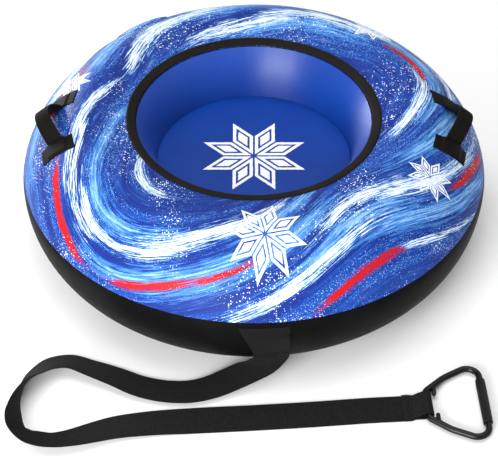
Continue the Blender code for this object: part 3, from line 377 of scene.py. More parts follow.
weld_top = SEAT_HEIGHT - SEAT_THICKNESS - CLEARANCE
weld_low = weld_top - SKIN_THICKNESS
well_heights = np.linspace(RIM_CORNER_HEIGHT - SKIN_THICKNESS - CLEARANCE, weld_top + CLEARANCE,
                           WELL_ROWS)
seat_well = shell("seat_well", seat_side(well_heights), SKIN_THICKNESS, ROUND_STEPS)
ring_in, ring_out = seat_radius(weld_top) - SEAT_FLANGE, seat_radius(weld_top) + SKIN_THICKNESS
ring_section = [(ring_in, weld_low), (ring_out, weld_low), (ring_out, weld_top), (ring_in, weld_top)]
weld_ring = turned("weld_ring", np.array(ring_section), ROUND_STEPS)
hidden_arc = np.interp(weld_low - CLEARANCE, wall_side[:, 1], SECTION_ARC[:len(wall_side)])
hidden_line = np.concatenate([section_line(hidden_arc, SECTION_ARC[0], HIDDEN_ROWS),
                              hidden_side[1::HIDDEN_STRIDE]])
inside_wall = shell("inside_wall", hidden_line, SKIN_THICKNESS, HIDDEN_STEPS, (0, 0))
print("seat well is", round(RIM_CORNER_HEIGHT - SEAT_HEIGHT, 4), "m deep")

# %% Seat sheet, slide sheet and the tape in the chamber
SLIDE_RADIUS = 0.285
TAPE_REACH = 0.010
TAPE_THICKNESS = 0.0008
TAPE_ROWS = 8
DISC_STEPS = 192
DISC_RINGS = 40
DISC_EDGE = 0.0004
DISC_EDGE_ROWS = 7


def disc(name, radius, low, high):
    """A flat round sheet: a profile from the axis out under it, round a small arc and back."""
    out = np.sqrt(np.linspace(0.0, 1.0, DISC_RINGS)) * (radius - DISC_EDGE)
    turn = np.linspace(-math.pi / 2, math.pi / 2, DISC_EDGE_ROWS)
    middle, half = (low + high) / 2, (high - low) / 2
    rim = np.column_stack([radius - DISC_EDGE + DISC_EDGE * np.cos(turn), middle + half * np.sin(turn)])
    under = np.column_stack([out, np.full(DISC_RINGS, low)])
    over = np.column_stack([out[::-1], np.full(DISC_RINGS, high)])
    return turned(name, np.concatenate([under, rim[1:-1], over]), DISC_STEPS, closed=False)


seat_edge = seat_radius(SEAT_HEIGHT) - CLEARANCE
seat_sheet = disc("seat_sheet", seat_edge, SEAT_HEIGHT - SEAT_THICKNESS, SEAT_HEIGHT)
slide_sheet = disc("slide_sheet", SLIDE_RADIUS, 0.0, BASE_THICKNESS)
tape_line = section_line(print_arc - TAPE_REACH, print_arc + TAPE_REACH, TAPE_ROWS)
tape_line = offset_line(tape_line, -SKIN_THICKNESS - 2 * CLEARANCE)
chamber_tape = shell("chamber_tape", tape_line, -TAPE_THICKNESS, HIDDEN_STEPS, (0, 0))
print("seat sheet radius", round(seat_edge, 4), "m")

# %% [markdown]
# ## The rim band
# A raised black band is welded over the seam round the opening. Its section is a low arch with full
# shoulders, so the light catches it as one soft line. A bevelled circle would be a round cord, so the
# arch is a superellipse laid over the skin's own line and turned with it.

# %% Rim band
BAND_WIDTH = 0.0165
BAND_CROWN = 0.0028
BAND_POWER = 5
BAND_COLUMNS = 33

band_share = np.sin(np.linspace(-math.pi / 2, math.pi / 2, BAND_COLUMNS))
band_line = rim_top(RIM_CORNER_RADIUS + BAND_WIDTH * (band_share + 1) / 2)
band_lift = CLEARANCE + (BAND_CROWN - CLEARANCE) * np.sqrt(1 - np.abs(band_share) ** BAND_POWER)
band_low, band_high = (offset_line(band_line, lift) for lift in (CLEARANCE, band_lift[:, None]))
rim_welt = turned("rim_welt", np.concatenate([band_low, band_high[::-1]]), ROUND_STEPS)
print("rim band stands", BAND_CROWN, "m off the seam")

# %% [markdown]
# ## Webbing
# Handles and tow strap are flat woven webbing with soft round edges. Its section is two lines that
# come together at the edges: half the thickness times the root of (1 - |w|^n), where w runs from -1
# to 1 across. Remeshing would erase such a thin strip, so it is modelled directly.

# %% Webbing helper
EDGE_POWER = 36
WEBBING_COLUMNS = 25

edge_shares = np.sin(np.linspace(-math.pi / 2, math.pi / 2, WEBBING_COLUMNS))


def woven_slab(name, lower, upper, u, v):
    """A slab whose two faces come together at its edges, as a woven strip's do."""
    fullness = np.sqrt(1 - np.abs(edge_shares) ** EDGE_POWER)[None, :, None]
    middle, half = (lower + upper) / 2, (upper - lower) / 2 * fullness
    return slab(name, middle - half, middle + half, u, v)


print("webbing has", WEBBING_COLUMNS, "columns, closer together at its edges")

# %% [markdown]
# ## Grab handles
# Each handle is one strip of webbing whose ends are caught under two welded patches. It stands up as a
# stiff arch and leans outwards, and each half of it is a piece of its own.

# %% Handle webbing
HANDLE_RADIUS = 0.340
HANDLE_FORWARD_ANGLE = math.radians(1.5)
HANDLE_WIDTH = 0.031
HANDLE_THICKNESS = 0.0022
HANDLE_RISE = 0.036
HANDLE_LEAN = math.radians(56)
HANDLE_ARCH_POWER = 1.15
HANDLE_MOUTH = 0.0420
HANDLE_HINGE = 0.0305
HANDLE_TAIL_REACH = 0.028
HANDLE_ROWS = 73
# the angle of each handle's middle, and which way along the tangent leads to the front
HANDLE_MIDDLES = {"left": (math.pi + HANDLE_FORWARD_ANGLE, 1), "right": (-HANDLE_FORWARD_ANGLE, -1)}

handle_arc = outer_arc(HANDLE_RADIUS)
handle_ends = [(handle, end, angle, way * to_front)
               for handle, (angle, to_front) in HANDLE_MIDDLES.items()
               for end, way in (("front", 1), ("back", -1))]


def arch_lift(along):
    """Height of the arch over the skin: rise * (1 - (along / mouth)^2)^power."""
    share = np.clip(np.abs(along) / HANDLE_MOUTH, 0.0, 1.0)
    return HANDLE_RISE * (1 - share ** 2) ** HANDLE_ARCH_POWER


def handle_half(handle, end, angle, side):
    """Half of a handle: rows from its sewn end to the arch's middle, columns across. A point is the
    skin's own plus lean * arch lift, and the upper face stands off by the webbing's thickness."""
    origin, tangent, _, outward = skin_frame(angle, handle_arc)
    along = side * np.linspace(HANDLE_MOUTH + HANDLE_TAIL_REACH, 0.0, HANDLE_ROWS)[:, None]
    across = edge_shares[None, :] * HANDLE_WIDTH / 2
    lean = np.array([math.cos(HANDLE_LEAN) * math.cos(angle), math.cos(HANDLE_LEAN) * math.sin(angle),
                     math.sin(HANDLE_LEAN)])
    slope = (arch_lift(along + SLOPE_STEP) - arch_lift(along - SLOPE_STEP)) / (2 * SLOPE_STEP)
    lower = skin_faces(angle, along, handle_arc + across, CLEARANCE, 0.0)[0]
    lower = lower + lean * arch_lift(along)[..., None]
    upper = lower + outward * (HANDLE_THICKNESS * np.hypot(1.0, slope))[..., None]
    half = woven_slab(f"{handle}_grab_{end}", lower, upper,
                      lengths_along(lower[:, WEBBING_COLUMNS // 2]), across[0])
    origin + tangent * side * HANDLE_MOUTH
    origin + tangent * side * (2 * HANDLE_HINGE - HANDLE_MOUTH)
    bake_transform(half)
    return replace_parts(half, f"{handle}_handle_strap", f"{handle}_handle_{end}_end")


handle_webbing = [handle_half(*row) for row in handle_ends]
print("handle arch stands", HANDLE_RISE, "m off the skin along its lean")

# %% [markdown]
# ## Welded patches
# A patch is a thin sheet that lies on the skin and rises over what it covers. A shrinkwrap could lay
# it there, but would lose its even thickness. Here the lift is a smooth step from one level to the
# other, so the covered webbing shows through as a soft hump.

# %% Handle patches
PATCH_ALONG = 0.035
PATCH_ACROSS = 0.068
PATCH_THICKNESS = 0.0012
PATCH_RAMP = 0.005
TAIL_MARGIN = 0.0010
PATCH_ROWS = 37
PATCH_COLUMNS = 61
RIM_CELL_SHARES = (0.35, 0.85, 1.0)


def thin_edges(rows, columns):
    """The share of its thickness that a sheet keeps: less in the last two cells, so its rim is soft."""
    down, along = (np.minimum(np.arange(count), np.arange(count)[::-1]) for count in (rows, columns))
    return np.interp(np.minimum(down[:, None], along[None, :]), [0, 1, 2], RIM_CELL_SHARES)


def hump(distance_inside):
    """1 over a covered piece, and a smooth step down to 0 over the ramp beside it."""
    return smooth_step((distance_inside + TAIL_MARGIN + PATCH_RAMP) / PATCH_RAMP)


def handle_patch(handle, end, angle, side):
    """A patch over one end of a handle: its lift is the webbing's thickness times a hump in from the
    patch's sides and in from the webbing's own end."""
    along = np.linspace(HANDLE_MOUTH, HANDLE_MOUTH + PATCH_ALONG, PATCH_ROWS)[:, None]
    across = np.linspace(-PATCH_ACROSS / 2, PATCH_ACROSS / 2, PATCH_COLUMNS)[None, :]
    covered = hump(HANDLE_WIDTH / 2 - np.abs(across)) * hump(HANDLE_MOUTH + HANDLE_TAIL_REACH - along)
    faces = skin_faces(angle, side * along, handle_arc + across,
                       CLEARANCE + (HANDLE_THICKNESS + CLEARANCE) * covered,
                       PATCH_THICKNESS * thin_edges(PATCH_ROWS, PATCH_COLUMNS))
    patch = slab(f"{handle}_{end}_weld_patch", *faces, along[:, 0], across[0])
    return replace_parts(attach(patch, "tube"), f"{handle}_handle_{end}_patch")


patches = [handle_patch(*row) for row in handle_ends]
print("handle patches:", len(patches), "of", PATCH_ALONG, "x", PATCH_ACROSS, "m")

# %% [markdown]
# ## Tow pocket
# The strap leaves the tube through a pocket: a tapered patch whose lower edge is open. The mouth
# gapes a little, and its left corner is pulled down by the strap, as the photograph shows. Sculpting
# could pull that corner, but as a fade in the formula it keeps the patch's even rows.

# %% Tow pocket and the sewn tail in it
STRAP_WIDTH = 0.056
STRAP_THICKNESS = 0.0025
TOW_X = 0.031
TOW_MOUTH_HEIGHT = 0.0665
TOW_MOUTH_DROP = 0.0145
TOW_DROP_FADE = 0.034
TOW_MOUTH_RISE = 0.0065
TOW_MOUTH_FADE = 0.015
TOW_TOP_HEIGHT = 0.134
TOW_TOP_LEFT = -0.026
TOW_TOP_RIGHT = 0.058
TAIL_TOP_HEIGHT = 0.112
TAIL_WIDTH = 0.050
POCKET_STEPS = 61
TAIL_ROWS = 31


def front_faces(across, height, lift, thick):
    """Both faces of a layer on the tube's front, placed by its distance across and its height."""
    angle = -math.pi / 2 + np.arcsin(across / section_at(flank_arc(height))[0])
    return [skin_point(angle, flank_arc(height), lift + extra) for extra in (0.0, thick)]


def tow_pocket():
    """Rows go up from the mouth and columns from left to right. The lift is the strap's thickness
    over the sewn tail, and the mouth's own rise at the lower edge."""
    height = np.linspace(TOW_MOUTH_HEIGHT, TOW_TOP_HEIGHT, POCKET_STEPS)[:, None]
    share = (height - TOW_MOUTH_HEIGHT) / (TOW_TOP_HEIGHT - TOW_MOUTH_HEIGHT)
    left = (1 - share) * (TOW_X - STRAP_WIDTH / 2) + share * TOW_TOP_LEFT
    right = (1 - share) * (TOW_X + STRAP_WIDTH / 2) + share * TOW_TOP_RIGHT
    place = np.linspace(0.0, 1.0, POCKET_STEPS)[None, :]
    across = left + (right - left) * place
    drop, mouth = (1 - smooth_step((height - TOW_MOUTH_HEIGHT) / fade)
                   for fade in (TOW_DROP_FADE, TOW_MOUTH_FADE))
    covered = hump(TAIL_WIDTH / 2 - np.abs(across - TOW_X)) * hump(TAIL_TOP_HEIGHT - height)
    lift = CLEARANCE + (STRAP_THICKNESS + CLEARANCE) * covered
    faces = front_faces(across, height - TOW_MOUTH_DROP * drop * (1 - place),
                        lift + (TOW_MOUTH_RISE - lift) * mouth,
                        PATCH_THICKNESS * thin_edges(POCKET_STEPS, POCKET_STEPS))
    return slab("tow_pocket", *faces, height[:, 0], across[0])


pocket = tow_pocket()
tail_height = np.linspace(TOW_MOUTH_HEIGHT + CLEARANCE, TAIL_TOP_HEIGHT, TAIL_ROWS)[:, None]
tail_across = edge_shares[None, :] * TAIL_WIDTH / 2
tail_faces = front_faces(TOW_X + tail_across, tail_height, CLEARANCE, STRAP_THICKNESS)
sewn_tail = woven_slab("sewn_tail", *tail_faces, tail_height[:, 0], tail_across[0])
print("pocket is", round(TOW_TOP_HEIGHT - TOW_MOUTH_HEIGHT, 4), "m tall")

# %% [markdown]
# ## Tow strap
# The strap is a fixed length of flat webbing. It drops out of the pocket, runs along the floor to the
# left, rolls over at the bend and comes back to the ring. A bevelled curve would twist such a flat
# strip at will, so each row of its route is a point of the middle line, with Y measured from the
# tube's front edge, and the way that its width points. A smooth curve goes through the rows.

# %% Route of the tow strap
STRAP_ROUTE = np.array([
    (0.0310, 0.0138, 0.0654, 1.00, 0.08, 0.00), (0.0308, 0.0176, 0.0580, 1.00, 0.08, 0.00),
    (0.0295, 0.0188, 0.0510, 0.99, -0.07, 0.03), (0.0245, 0.0182, 0.0440, 0.96, -0.22, 0.06),
    (0.0120, 0.0140, 0.0345, 0.86, -0.46, 0.06), (-0.0110, 0.0100, 0.0240, 0.66, -0.75, 0.05),
    (-0.0380, 0.0030, 0.0140, 0.52, -0.85, 0.06), (-0.0640, -0.0070, 0.0087, 0.42, -0.90, 0.08),
    (-0.1000, -0.0160, 0.0052, 0.20, -0.97, 0.10), (-0.1400, -0.0165, 0.0050, -0.05, -0.99, 0.12),
    (-0.1850, -0.0065, 0.0065, -0.26, -0.95, 0.17), (-0.2290, 0.0145, 0.0087, -0.35, -0.90, 0.26),
    (-0.2680, 0.0310, 0.0107, -0.22, -0.91, 0.33), (-0.3100, 0.0450, 0.0130, 0.00, -0.92, 0.40),
    (-0.3385, 0.0370, 0.0144, 0.34, -0.82, 0.46), (-0.3540, 0.0200, 0.0180, 0.52, -0.63, 0.58),
    (-0.3660, 0.0010, 0.0217, 0.55, -0.42, 0.70), (-0.3740, -0.0200, 0.0256, 0.40, -0.20, 0.87),
    (-0.3790, -0.0450, 0.0284, 0.14, 0.00, 0.99), (-0.3828, -0.0690, 0.0280, -0.19, 0.00, 0.98),
    (-0.3842, -0.0860, 0.0268, -0.38, -0.05, 0.92), (-0.3835, -0.0990, 0.0247, -0.54, -0.12, 0.83),
    (-0.3790, -0.1095, 0.0212, -0.60, -0.40, 0.69), (-0.3715, -0.1180, 0.0182, -0.48, -0.63, 0.60),
    (-0.3600, -0.1245, 0.0158, -0.36, -0.80, 0.48), (-0.3450, -0.1290, 0.0143, -0.21, -0.88, 0.42),
    (-0.3260, -0.1310, 0.0132, 0.05, -0.90, 0.40), (-0.2960, -0.1250, 0.0112, 0.28, -0.88, 0.33),
    (-0.2650, -0.1130, 0.0087, 0.34, -0.90, 0.24), (-0.2300, -0.0990, 0.0060, 0.30, -0.94, 0.15),
    (-0.1680, -0.0860, 0.0035, 0.12, -0.99, 0.06), (-0.1000, -0.0790, 0.0018, 0.08, -1.00, 0.00),
    (0.0000, -0.0720, 0.0015, 0.07, -1.00, 0.00), (0.1000, -0.0640, 0.0015, 0.08, -1.00, 0.00),
    (0.1900, -0.0555, 0.0015, 0.07, -1.00, 0.00), (0.2427, -0.0518, 0.0015, 0.07, -1.00, 0.00),
])


def smooth_route(rows, count, places=3):
    """Even steps along a cubic through each row, whose slopes are the rows' own gradients."""
    length = lengths_along(rows[:, :places])
    slopes = np.gradient(rows, length, axis=0)
    at = np.linspace(0.0, length[-1], count)
    k = np.clip(np.searchsorted(length, at, side="right") - 1, 0, len(length) - 2)
    span = (length[k + 1] - length[k])[:, None]
    t = (at - length[k])[:, None] / span
    return ((2 * t ** 3 - 3 * t ** 2 + 1) * rows[k] + (t ** 3 - 2 * t ** 2 + t) * span * slopes[k]
            + (3 * t ** 2 - 2 * t ** 3) * rows[k + 1] + (t ** 3 - t ** 2) * span * slopes[k + 1])


print("the route has", len(STRAP_ROUTE), "points")

# %% Tow strap
STRAP_ROWS = 420


def unit(vectors):
    """Each vector over its own length."""
    return vectors / np.linalg.norm(vectors, axis=-1, keepdims=True)


strap_rows = smooth_route(STRAP_ROUTE, STRAP_ROWS)
strap_middle = strap_rows[:, :3] - (0.0, OUTER_RADIUS, 0.0)
strap_across = unit(strap_rows[:, 3:])
strap_normal = unit(np.cross(np.gradient(strap_middle, axis=0), strap_across))
strap_places = edge_shares * STRAP_WIDTH / 2
strap_sheet = strap_middle[:, None] + strap_across[:, None] * strap_places[None, :, None]
strap_half = strap_normal[:, None] * STRAP_THICKNESS / 2
tow_webbing = woven_slab("tow_webbing", strap_sheet - strap_half, strap_sheet + strap_half,
                         lengths_along(strap_middle), strap_places)

# %% [markdown]
# ## Pull ring
# The ring is one bent steel wire: a short bar in the webbing's loop, two arms that spread, and a hand
# bar. Its line is a six-cornered outline with each corner rounded by an arc. A circle carried along
# that line gives the wire. A bevelled curve could do the same, but its bends would not be true arcs.
# Two small ears keep the webbing in the middle of its bar.

# %% Frame and line of the pull ring
RING_PIVOT = np.array([0.283, -0.449, 0.0083])
RING_YAW = math.radians(4)
WIRE_RADIUS = 0.0055
WIRE_SIDES = 28
BEND_STEPS = 22
RING_CORNERS = np.array([(0.0, 0.030), (0.032, 0.057), (0.0926, 0.089),
                         (0.0926, -0.089), (0.032, -0.057), (0.0, -0.030)])
RING_BENDS = (0.009, 0.060, 0.020, 0.020, 0.060, 0.009)
RING_AXES = np.array([(math.cos(RING_YAW), -math.sin(RING_YAW), 0.0),
                      (math.sin(RING_YAW), math.cos(RING_YAW), 0.0), (0.0, 0.0, 1.0)])


def in_ring_frame(x, y, z):
    """Points given from the ring's pivot: X towards the hand bar, Y along the bars, Z up."""
    return RING_PIVOT + np.stack(np.broadcast_arrays(x, y, z), axis=-1) @ RING_AXES.T


def rounded_outline(corners, bends, steps):
    """A closed outline with each corner replaced by an arc that touches both of its sides: the
    arc's centre lies bend / sin(half angle) along the corner's bisector."""
    outline = []
    for k, bend in enumerate(bends):
        back = unit(corners[k - 1] - corners[k])
        ahead = unit(corners[(k + 1) % len(corners)] - corners[k])
        half = math.acos(float(back @ ahead)) / 2
        centre = corners[k] + unit(back + ahead) * bend / math.sin(half)
        arm = corners[k] + back * bend / math.tan(half) - centre
        sense = 1 if back[0] * ahead[1] - back[1] * ahead[0] < 0 else -1
        swing = sense * (math.pi - 2 * half) * np.linspace(0.0, 1.0, steps)
        outline.append(centre + np.column_stack([arm[0] * np.cos(swing) - arm[1] * np.sin(swing),
                                                 arm[0] * np.sin(swing) + arm[1] * np.cos(swing)]))
    return np.concatenate(outline)


def closed_wire(name, line):
    """A circle carried round a closed flat line: point = line + r (cos * normal + sin * up)."""
    along = unit(np.roll(line, -1, axis=0) - np.roll(line, 1, axis=0))
    turn = np.linspace(0.0, math.tau, WIRE_SIDES, endpoint=False)[None, :]
    x = line[:, 0, None] + WIRE_RADIUS * np.cos(turn) * along[:, 1, None]
    y = line[:, 1, None] - WIRE_RADIUS * np.cos(turn) * along[:, 0, None]
    return surface(name, in_ring_frame(x, y, WIRE_RADIUS * np.sin(turn)),
                   lengths_along(np.concatenate([line, line[:1]])),
                   np.linspace(0.0, math.tau * WIRE_RADIUS, WIRE_SIDES + 1), True, True)


ring_line = rounded_outline(RING_CORNERS, RING_BENDS, BEND_STEPS)
wire_ring = closed_wire("wire_ring", ring_line)
print("ring is", round(float(np.ptp(ring_line[:, 1])) + 2 * WIRE_RADIUS, 3), "m wide")

# %% Ears of the ring
EAR_START = 0.0105
EAR_END = 0.0175
EAR_INNER = 0.0195
EAR_THICKNESS = 0.0070
EAR_ROUND_POWER = 0.5
EAR_TIP_SHARE = 0.25
EAR_SIDES = 32
EAR_ROWS = 24
ear_outer = np.interp(EAR_END, RING_CORNERS[:2, 0], RING_CORNERS[:2, 1])


def ring_ear(name, side):
    """A rounded peg from the arm inwards: its section is a superellipse, and its tip closes like
    the root of (1 - t^2) over the last few millimetres."""
    turn = np.linspace(0.0, math.tau, EAR_SIDES, endpoint=False)
    wide, tall = (np.sign(wave) * np.abs(wave) ** EAR_ROUND_POWER
                  for wave in (np.cos(turn), np.sin(turn)))
    along = np.linspace(0.0, 1.0, EAR_ROWS)[:, None]
    fullness = np.sqrt(1 - np.clip((along - 1 + EAR_TIP_SHARE) / EAR_TIP_SHARE, 0.0, 1.0) ** 2)
    fullness[0] = 0.0
    x = (EAR_START + EAR_END) / 2 + (EAR_END - EAR_START) / 2 * fullness * wide
    y = side * (ear_outer + (EAR_INNER - ear_outer) * along)
    return surface(name, in_ring_frame(x, y, EAR_THICKNESS / 2 * fullness * tall), along[:, 0],
                   np.linspace(0.0, 1.0, EAR_SIDES + 1), False, True)


ring_ears = [ring_ear("ring_ear_back", 1), ring_ear("ring_ear_front", -1)]
print("ears leave", round(2 * EAR_INNER, 4), "m of the bar free")

# %% [markdown]
# ## Hand sleeve
# The sleeve turns on the hand bar and is pressed with a diamond knurl. A bump map could fake the
# knurl, but its outline would stay smooth. So two families of fine grooves cross in the shape: the
# radius gains cos(k a + m s) * cos(k a - m s) along its middle, and fades at the ends.

# %% Hand sleeve
GRIP_LENGTH = 0.096
GRIP_RADIUS = 0.0080
GRIP_END_ROUND = 0.0012
GRIP_END_SHARE = 0.75
GRIP_ROWS = 221
GRIP_SIDES = 108
KNURL_COUNT = 18
KNURL_PITCH = 0.0050
KNURL_DEPTH = 0.00028
KNURL_END_GAP = 0.004
KNURL_FADE = 0.002


def hand_sleeve():
    """A tube round the hand bar: columns run along its outside and back through its bore. Its ends
    are rounded by the root of (1 - share^2) over the last millimetre."""
    place = np.linspace(-0.5, 0.5, GRIP_ROWS) * GRIP_LENGTH
    from_end = GRIP_LENGTH / 2 - np.abs(place)
    end_share = np.clip(1 - from_end / GRIP_END_ROUND, 0.0, 1.0)
    bore = WIRE_RADIUS + CLEARANCE
    outer = bore + (GRIP_RADIUS - bore) * np.sqrt(1 - GRIP_END_SHARE * end_share ** 2)
    turn = np.linspace(0.0, math.tau, GRIP_SIDES, endpoint=False)[:, None]
    around, run = KNURL_COUNT * turn, math.pi * place[None, :] / KNURL_PITCH
    knurl = KNURL_DEPTH * np.cos(around + run) * np.cos(around - run)
    knurl = knurl * smooth_step((from_end - KNURL_END_GAP) / KNURL_FADE)
    reach = np.concatenate([outer[None, :] + knurl, np.full((GRIP_SIDES, 2), bore)], axis=1)
    along = np.concatenate([place, [place[-1], place[0]]])
    points = in_ring_frame(RING_CORNERS[2, 0] + reach * np.cos(turn), along[None, :],
                           reach * np.sin(turn))
    return surface("hand_sleeve", points, np.linspace(0.0, math.tau * GRIP_RADIUS, GRIP_SIDES + 1),
                   np.append(along, along[0]), True, True)


sleeve = hand_sleeve()
print("sleeve faces:", len(sleeve.data.polygons))

# %% [markdown]
# ## Doubled end of the strap
# The strap goes under the ring's bar, round it and back onto itself, where it is sewn. Its route is a
# flat line seen from the side, and its width narrows a little so that it fits between the ears. It is
# a piece of its own, because the seam makes it stiff and it doesn't move as the free strap does.

# %% Doubled end
LOOP_LAP = 0.040
LOOP_STRAIGHT = 0.034
LOOP_TAPER_START = 0.026
LOOP_TAPER = 0.010
LOOP_TAPER_LEAD = 0.004
LOOP_HALF_WIDTH = 0.025
LOOP_RISE_START = 0.012
LOOP_RETURN = (-0.0125, 0.0025)
LOOP_ROWS = 150
WRAP_DEGREES = np.arange(-90, 113, 12.6)
loop_reach = WIRE_RADIUS + CLEARANCE + STRAP_THICKNESS / 2
under = STRAP_THICKNESS / 2 - RING_PIVOT[2]
over = under + STRAP_THICKNESS + CLEARANCE


def doubled_end():
    """Rows follow the side view (x, z) of the strap, and columns go across it."""
    wrap = np.radians(WRAP_DEGREES)
    side_view = np.array([(-LOOP_LAP, under), (-LOOP_STRAIGHT, under), (-LOOP_TAPER_START, under),
                          (-LOOP_RISE_START, under), *zip(loop_reach * np.cos(wrap),
                                                          loop_reach * np.sin(wrap)),
                          LOOP_RETURN, (-LOOP_TAPER_START, over), (-LOOP_STRAIGHT, over),
                          (-LOOP_LAP, over)])
    line = smooth_route(side_view, LOOP_ROWS, places=2)
    along = unit(np.gradient(line, axis=0))
    normal = np.column_stack([-along[:, 1], along[:, 0]]) * STRAP_THICKNESS / 2
    narrow = smooth_step((line[:, 0] + LOOP_TAPER_START + LOOP_TAPER_LEAD) / LOOP_TAPER)
    half = STRAP_WIDTH / 2 + (LOOP_HALF_WIDTH - STRAP_WIDTH / 2) * narrow
    across = edge_shares[None, :] * half[:, None]
    faces = [in_ring_frame(face[:, 0, None], across, face[:, 1, None])
             for face in (line - normal, line + normal)]
    return woven_slab("doubled_end", *faces, lengths_along(line), across[0])


strap_end = doubled_end()
print("doubled end laps back by", LOOP_LAP, "m")

# %% [markdown]
# ## Stitching
# A box of stitches holds the doubled end. Each stitch is a short capsule of thread that is partly sunk
# in the webbing. Instances would do for a picture, but each would be a piece to tie to the frame, so
# they are all one mesh and worked out together.

# %% Stitches
STITCH_LENGTH = 0.0030
STITCH_GAP = 0.0014
STITCH_RADIUS = 0.00042
STITCH_ROWS = 7
STITCH_SIDES = 8
STITCH_BOX_X = (-0.0375, -0.0275)
STITCH_BOX_Y = (-0.0240, 0.0240)


def stitches(name, centres, along, across, up):
    """Low capsules: x = half length * cos(b), y and z = radius * sin(b) times cos and sin of a."""
    turn = np.linspace(0.0, math.tau, STITCH_SIDES, endpoint=False)[None, :, None]
    swell = np.linspace(0.0, math.pi, STITCH_ROWS)[:, None, None]
    shape = (STITCH_LENGTH / 2 * np.cos(swell) * along[:, None, None]
             + STITCH_RADIUS * np.sin(swell) * np.cos(turn) * across[:, None, None]
             + STITCH_RADIUS * np.sin(swell) * np.sin(turn) * up)
    points = (centres[:, None, None] + shape).reshape(-1, 3)
    starts = np.arange(len(centres)) * STITCH_ROWS * STITCH_SIDES
    faces = grid_faces(STITCH_ROWS, STITCH_SIDES, False, True)[None] + starts[:, None, None]
    mesh = bpy.data.meshes.new(name)
    mesh.from_pydata(points.tolist(), [], faces.reshape(-1, 4).tolist())
    weld(mesh, turn_outwards=True)
    return new_object(name, mesh)


def stitch_row(start, end):
    """Centres and directions of the stitches on a straight line in the ring's plane."""
    count = max(1, int(np.linalg.norm(end - start) / (STITCH_LENGTH + STITCH_GAP)))
    share = (np.arange(count) + 0.5) / count
    return start + (end - start) * share[:, None], np.tile(unit(end - start), (count, 1))


(left, right), (near, far) = STITCH_BOX_X, STITCH_BOX_Y
box = np.array([(left, near), (right, near), (right, far), (left, far)])
rows = [stitch_row(start, end) for start, end in zip(box, np.roll(box, -1, axis=0))]
centres, directions = (np.concatenate(part) for part in zip(*rows))
stitch_along = directions @ RING_AXES[:, :2].T
stitch_height = over + STRAP_THICKNESS / 2 + STITCH_RADIUS / 4
end_stitches = stitches("end_stitches", in_ring_frame(centres[:, 0], centres[:, 1], stitch_height),
                        stitch_along, np.cross(RING_AXES[2], stitch_along), RING_AXES[2])
print("stitches on the doubled end:", len(centres))

# %% [markdown]
# ## Valve flap
# A printed cover lies over the valve and is welded down along its lower edge. The valve sits in a
# cup below the skin, so the cover needs only a few millimetres of room over the cap. A cushion from
# the cloth tools would sag between its edges. This one follows the skin and rises as a full cushion
# does: rise * ((1 - |x|^p) (1 - |y|^p))^q over its width and height.

# %% Valve flap and its weld
VALVE_ANGLE = math.radians(125.3)
VALVE_RADIUS = 0.355
FLAP_HALF_WIDTH = 0.047
FLAP_HALF_HEIGHT = 0.037
FLAP_BARREL_SHARE = 0.35
FLAP_BARREL_POWER = 4
FLAP_THICKNESS = 0.0012
FLAP_RISE = 0.0036
FLAP_ROUND_POWER = 4.0
FLAP_SWELL_POWER = 1.2
FLAP_ROWS = 61
FLAP_COLUMNS = 73
FLAP_WELD_HALF_WIDTH = 0.024
FLAP_WELD_REACH = 0.010
FLAP_WELD_ROWS = 15
FLAP_WELD_COLUMNS = 41
FLAP_HINGE_GAP = 0.0008
valve_arc = outer_arc(VALVE_RADIUS)


def valve_flap():
    """Rows go down the flap and columns across it."""
    down = np.linspace(-1.0, 1.0, FLAP_ROWS)[:, None]
    place = np.linspace(-1.0, 1.0, FLAP_COLUMNS)[None, :]
    half = FLAP_HALF_WIDTH * (1 - FLAP_BARREL_SHARE * down ** FLAP_BARREL_POWER)
    swell = (1 - np.abs(place) ** FLAP_ROUND_POWER) * (1 - np.abs(down) ** FLAP_ROUND_POWER)
    faces = skin_faces(VALVE_ANGLE, place * half, valve_arc + down * FLAP_HALF_HEIGHT,
                       CLEARANCE + FLAP_RISE * swell.clip(0) ** FLAP_SWELL_POWER,
                       FLAP_THICKNESS * thin_edges(FLAP_ROWS, FLAP_COLUMNS))
    return slab("flap_cover", *faces, down[:, 0] * FLAP_HALF_HEIGHT, place[0] * FLAP_HALF_WIDTH)


flap_cover = valve_flap()
weld_start = valve_arc + FLAP_HALF_HEIGHT + FLAP_HINGE_GAP
weld_arc = np.linspace(weld_start, weld_start + FLAP_WELD_REACH, FLAP_WELD_ROWS)[:, None]
weld_across = np.linspace(-FLAP_WELD_HALF_WIDTH, FLAP_WELD_HALF_WIDTH, FLAP_WELD_COLUMNS)[None, :]
weld_faces = skin_faces(VALVE_ANGLE, weld_across, weld_arc, CLEARANCE,
                        FLAP_THICKNESS * thin_edges(FLAP_WELD_ROWS, FLAP_WELD_COLUMNS))
flap_weld = slab("flap_weld_strip", *weld_faces, weld_arc[:, 0], weld_across[0])
print("flap is", 2 * FLAP_HALF_WIDTH, "x", 2 * FLAP_HALF_HEIGHT, "m")

# %% [markdown]
# The valve's cup goes through the printed skin, so the skin has a round hole there. The rows of the
# turned skin can't follow that circle, so a cylinder along the valve's axis is cut out with an exact
# Boolean, and the result becomes the skin's mesh.

# %% Hole for the valve
VALVE_NECK_RADIUS = 0.0180
HOLE_REACH = 0.018
HOLE_SIDES = 64


def points_of(mesh):
    """The mesh's points, one row each."""
    points = np.zeros(len(mesh.vertices) * 3, np.float32)
    mesh.vertices.foreach_get("co", points)
    return points.reshape(-1, 3)


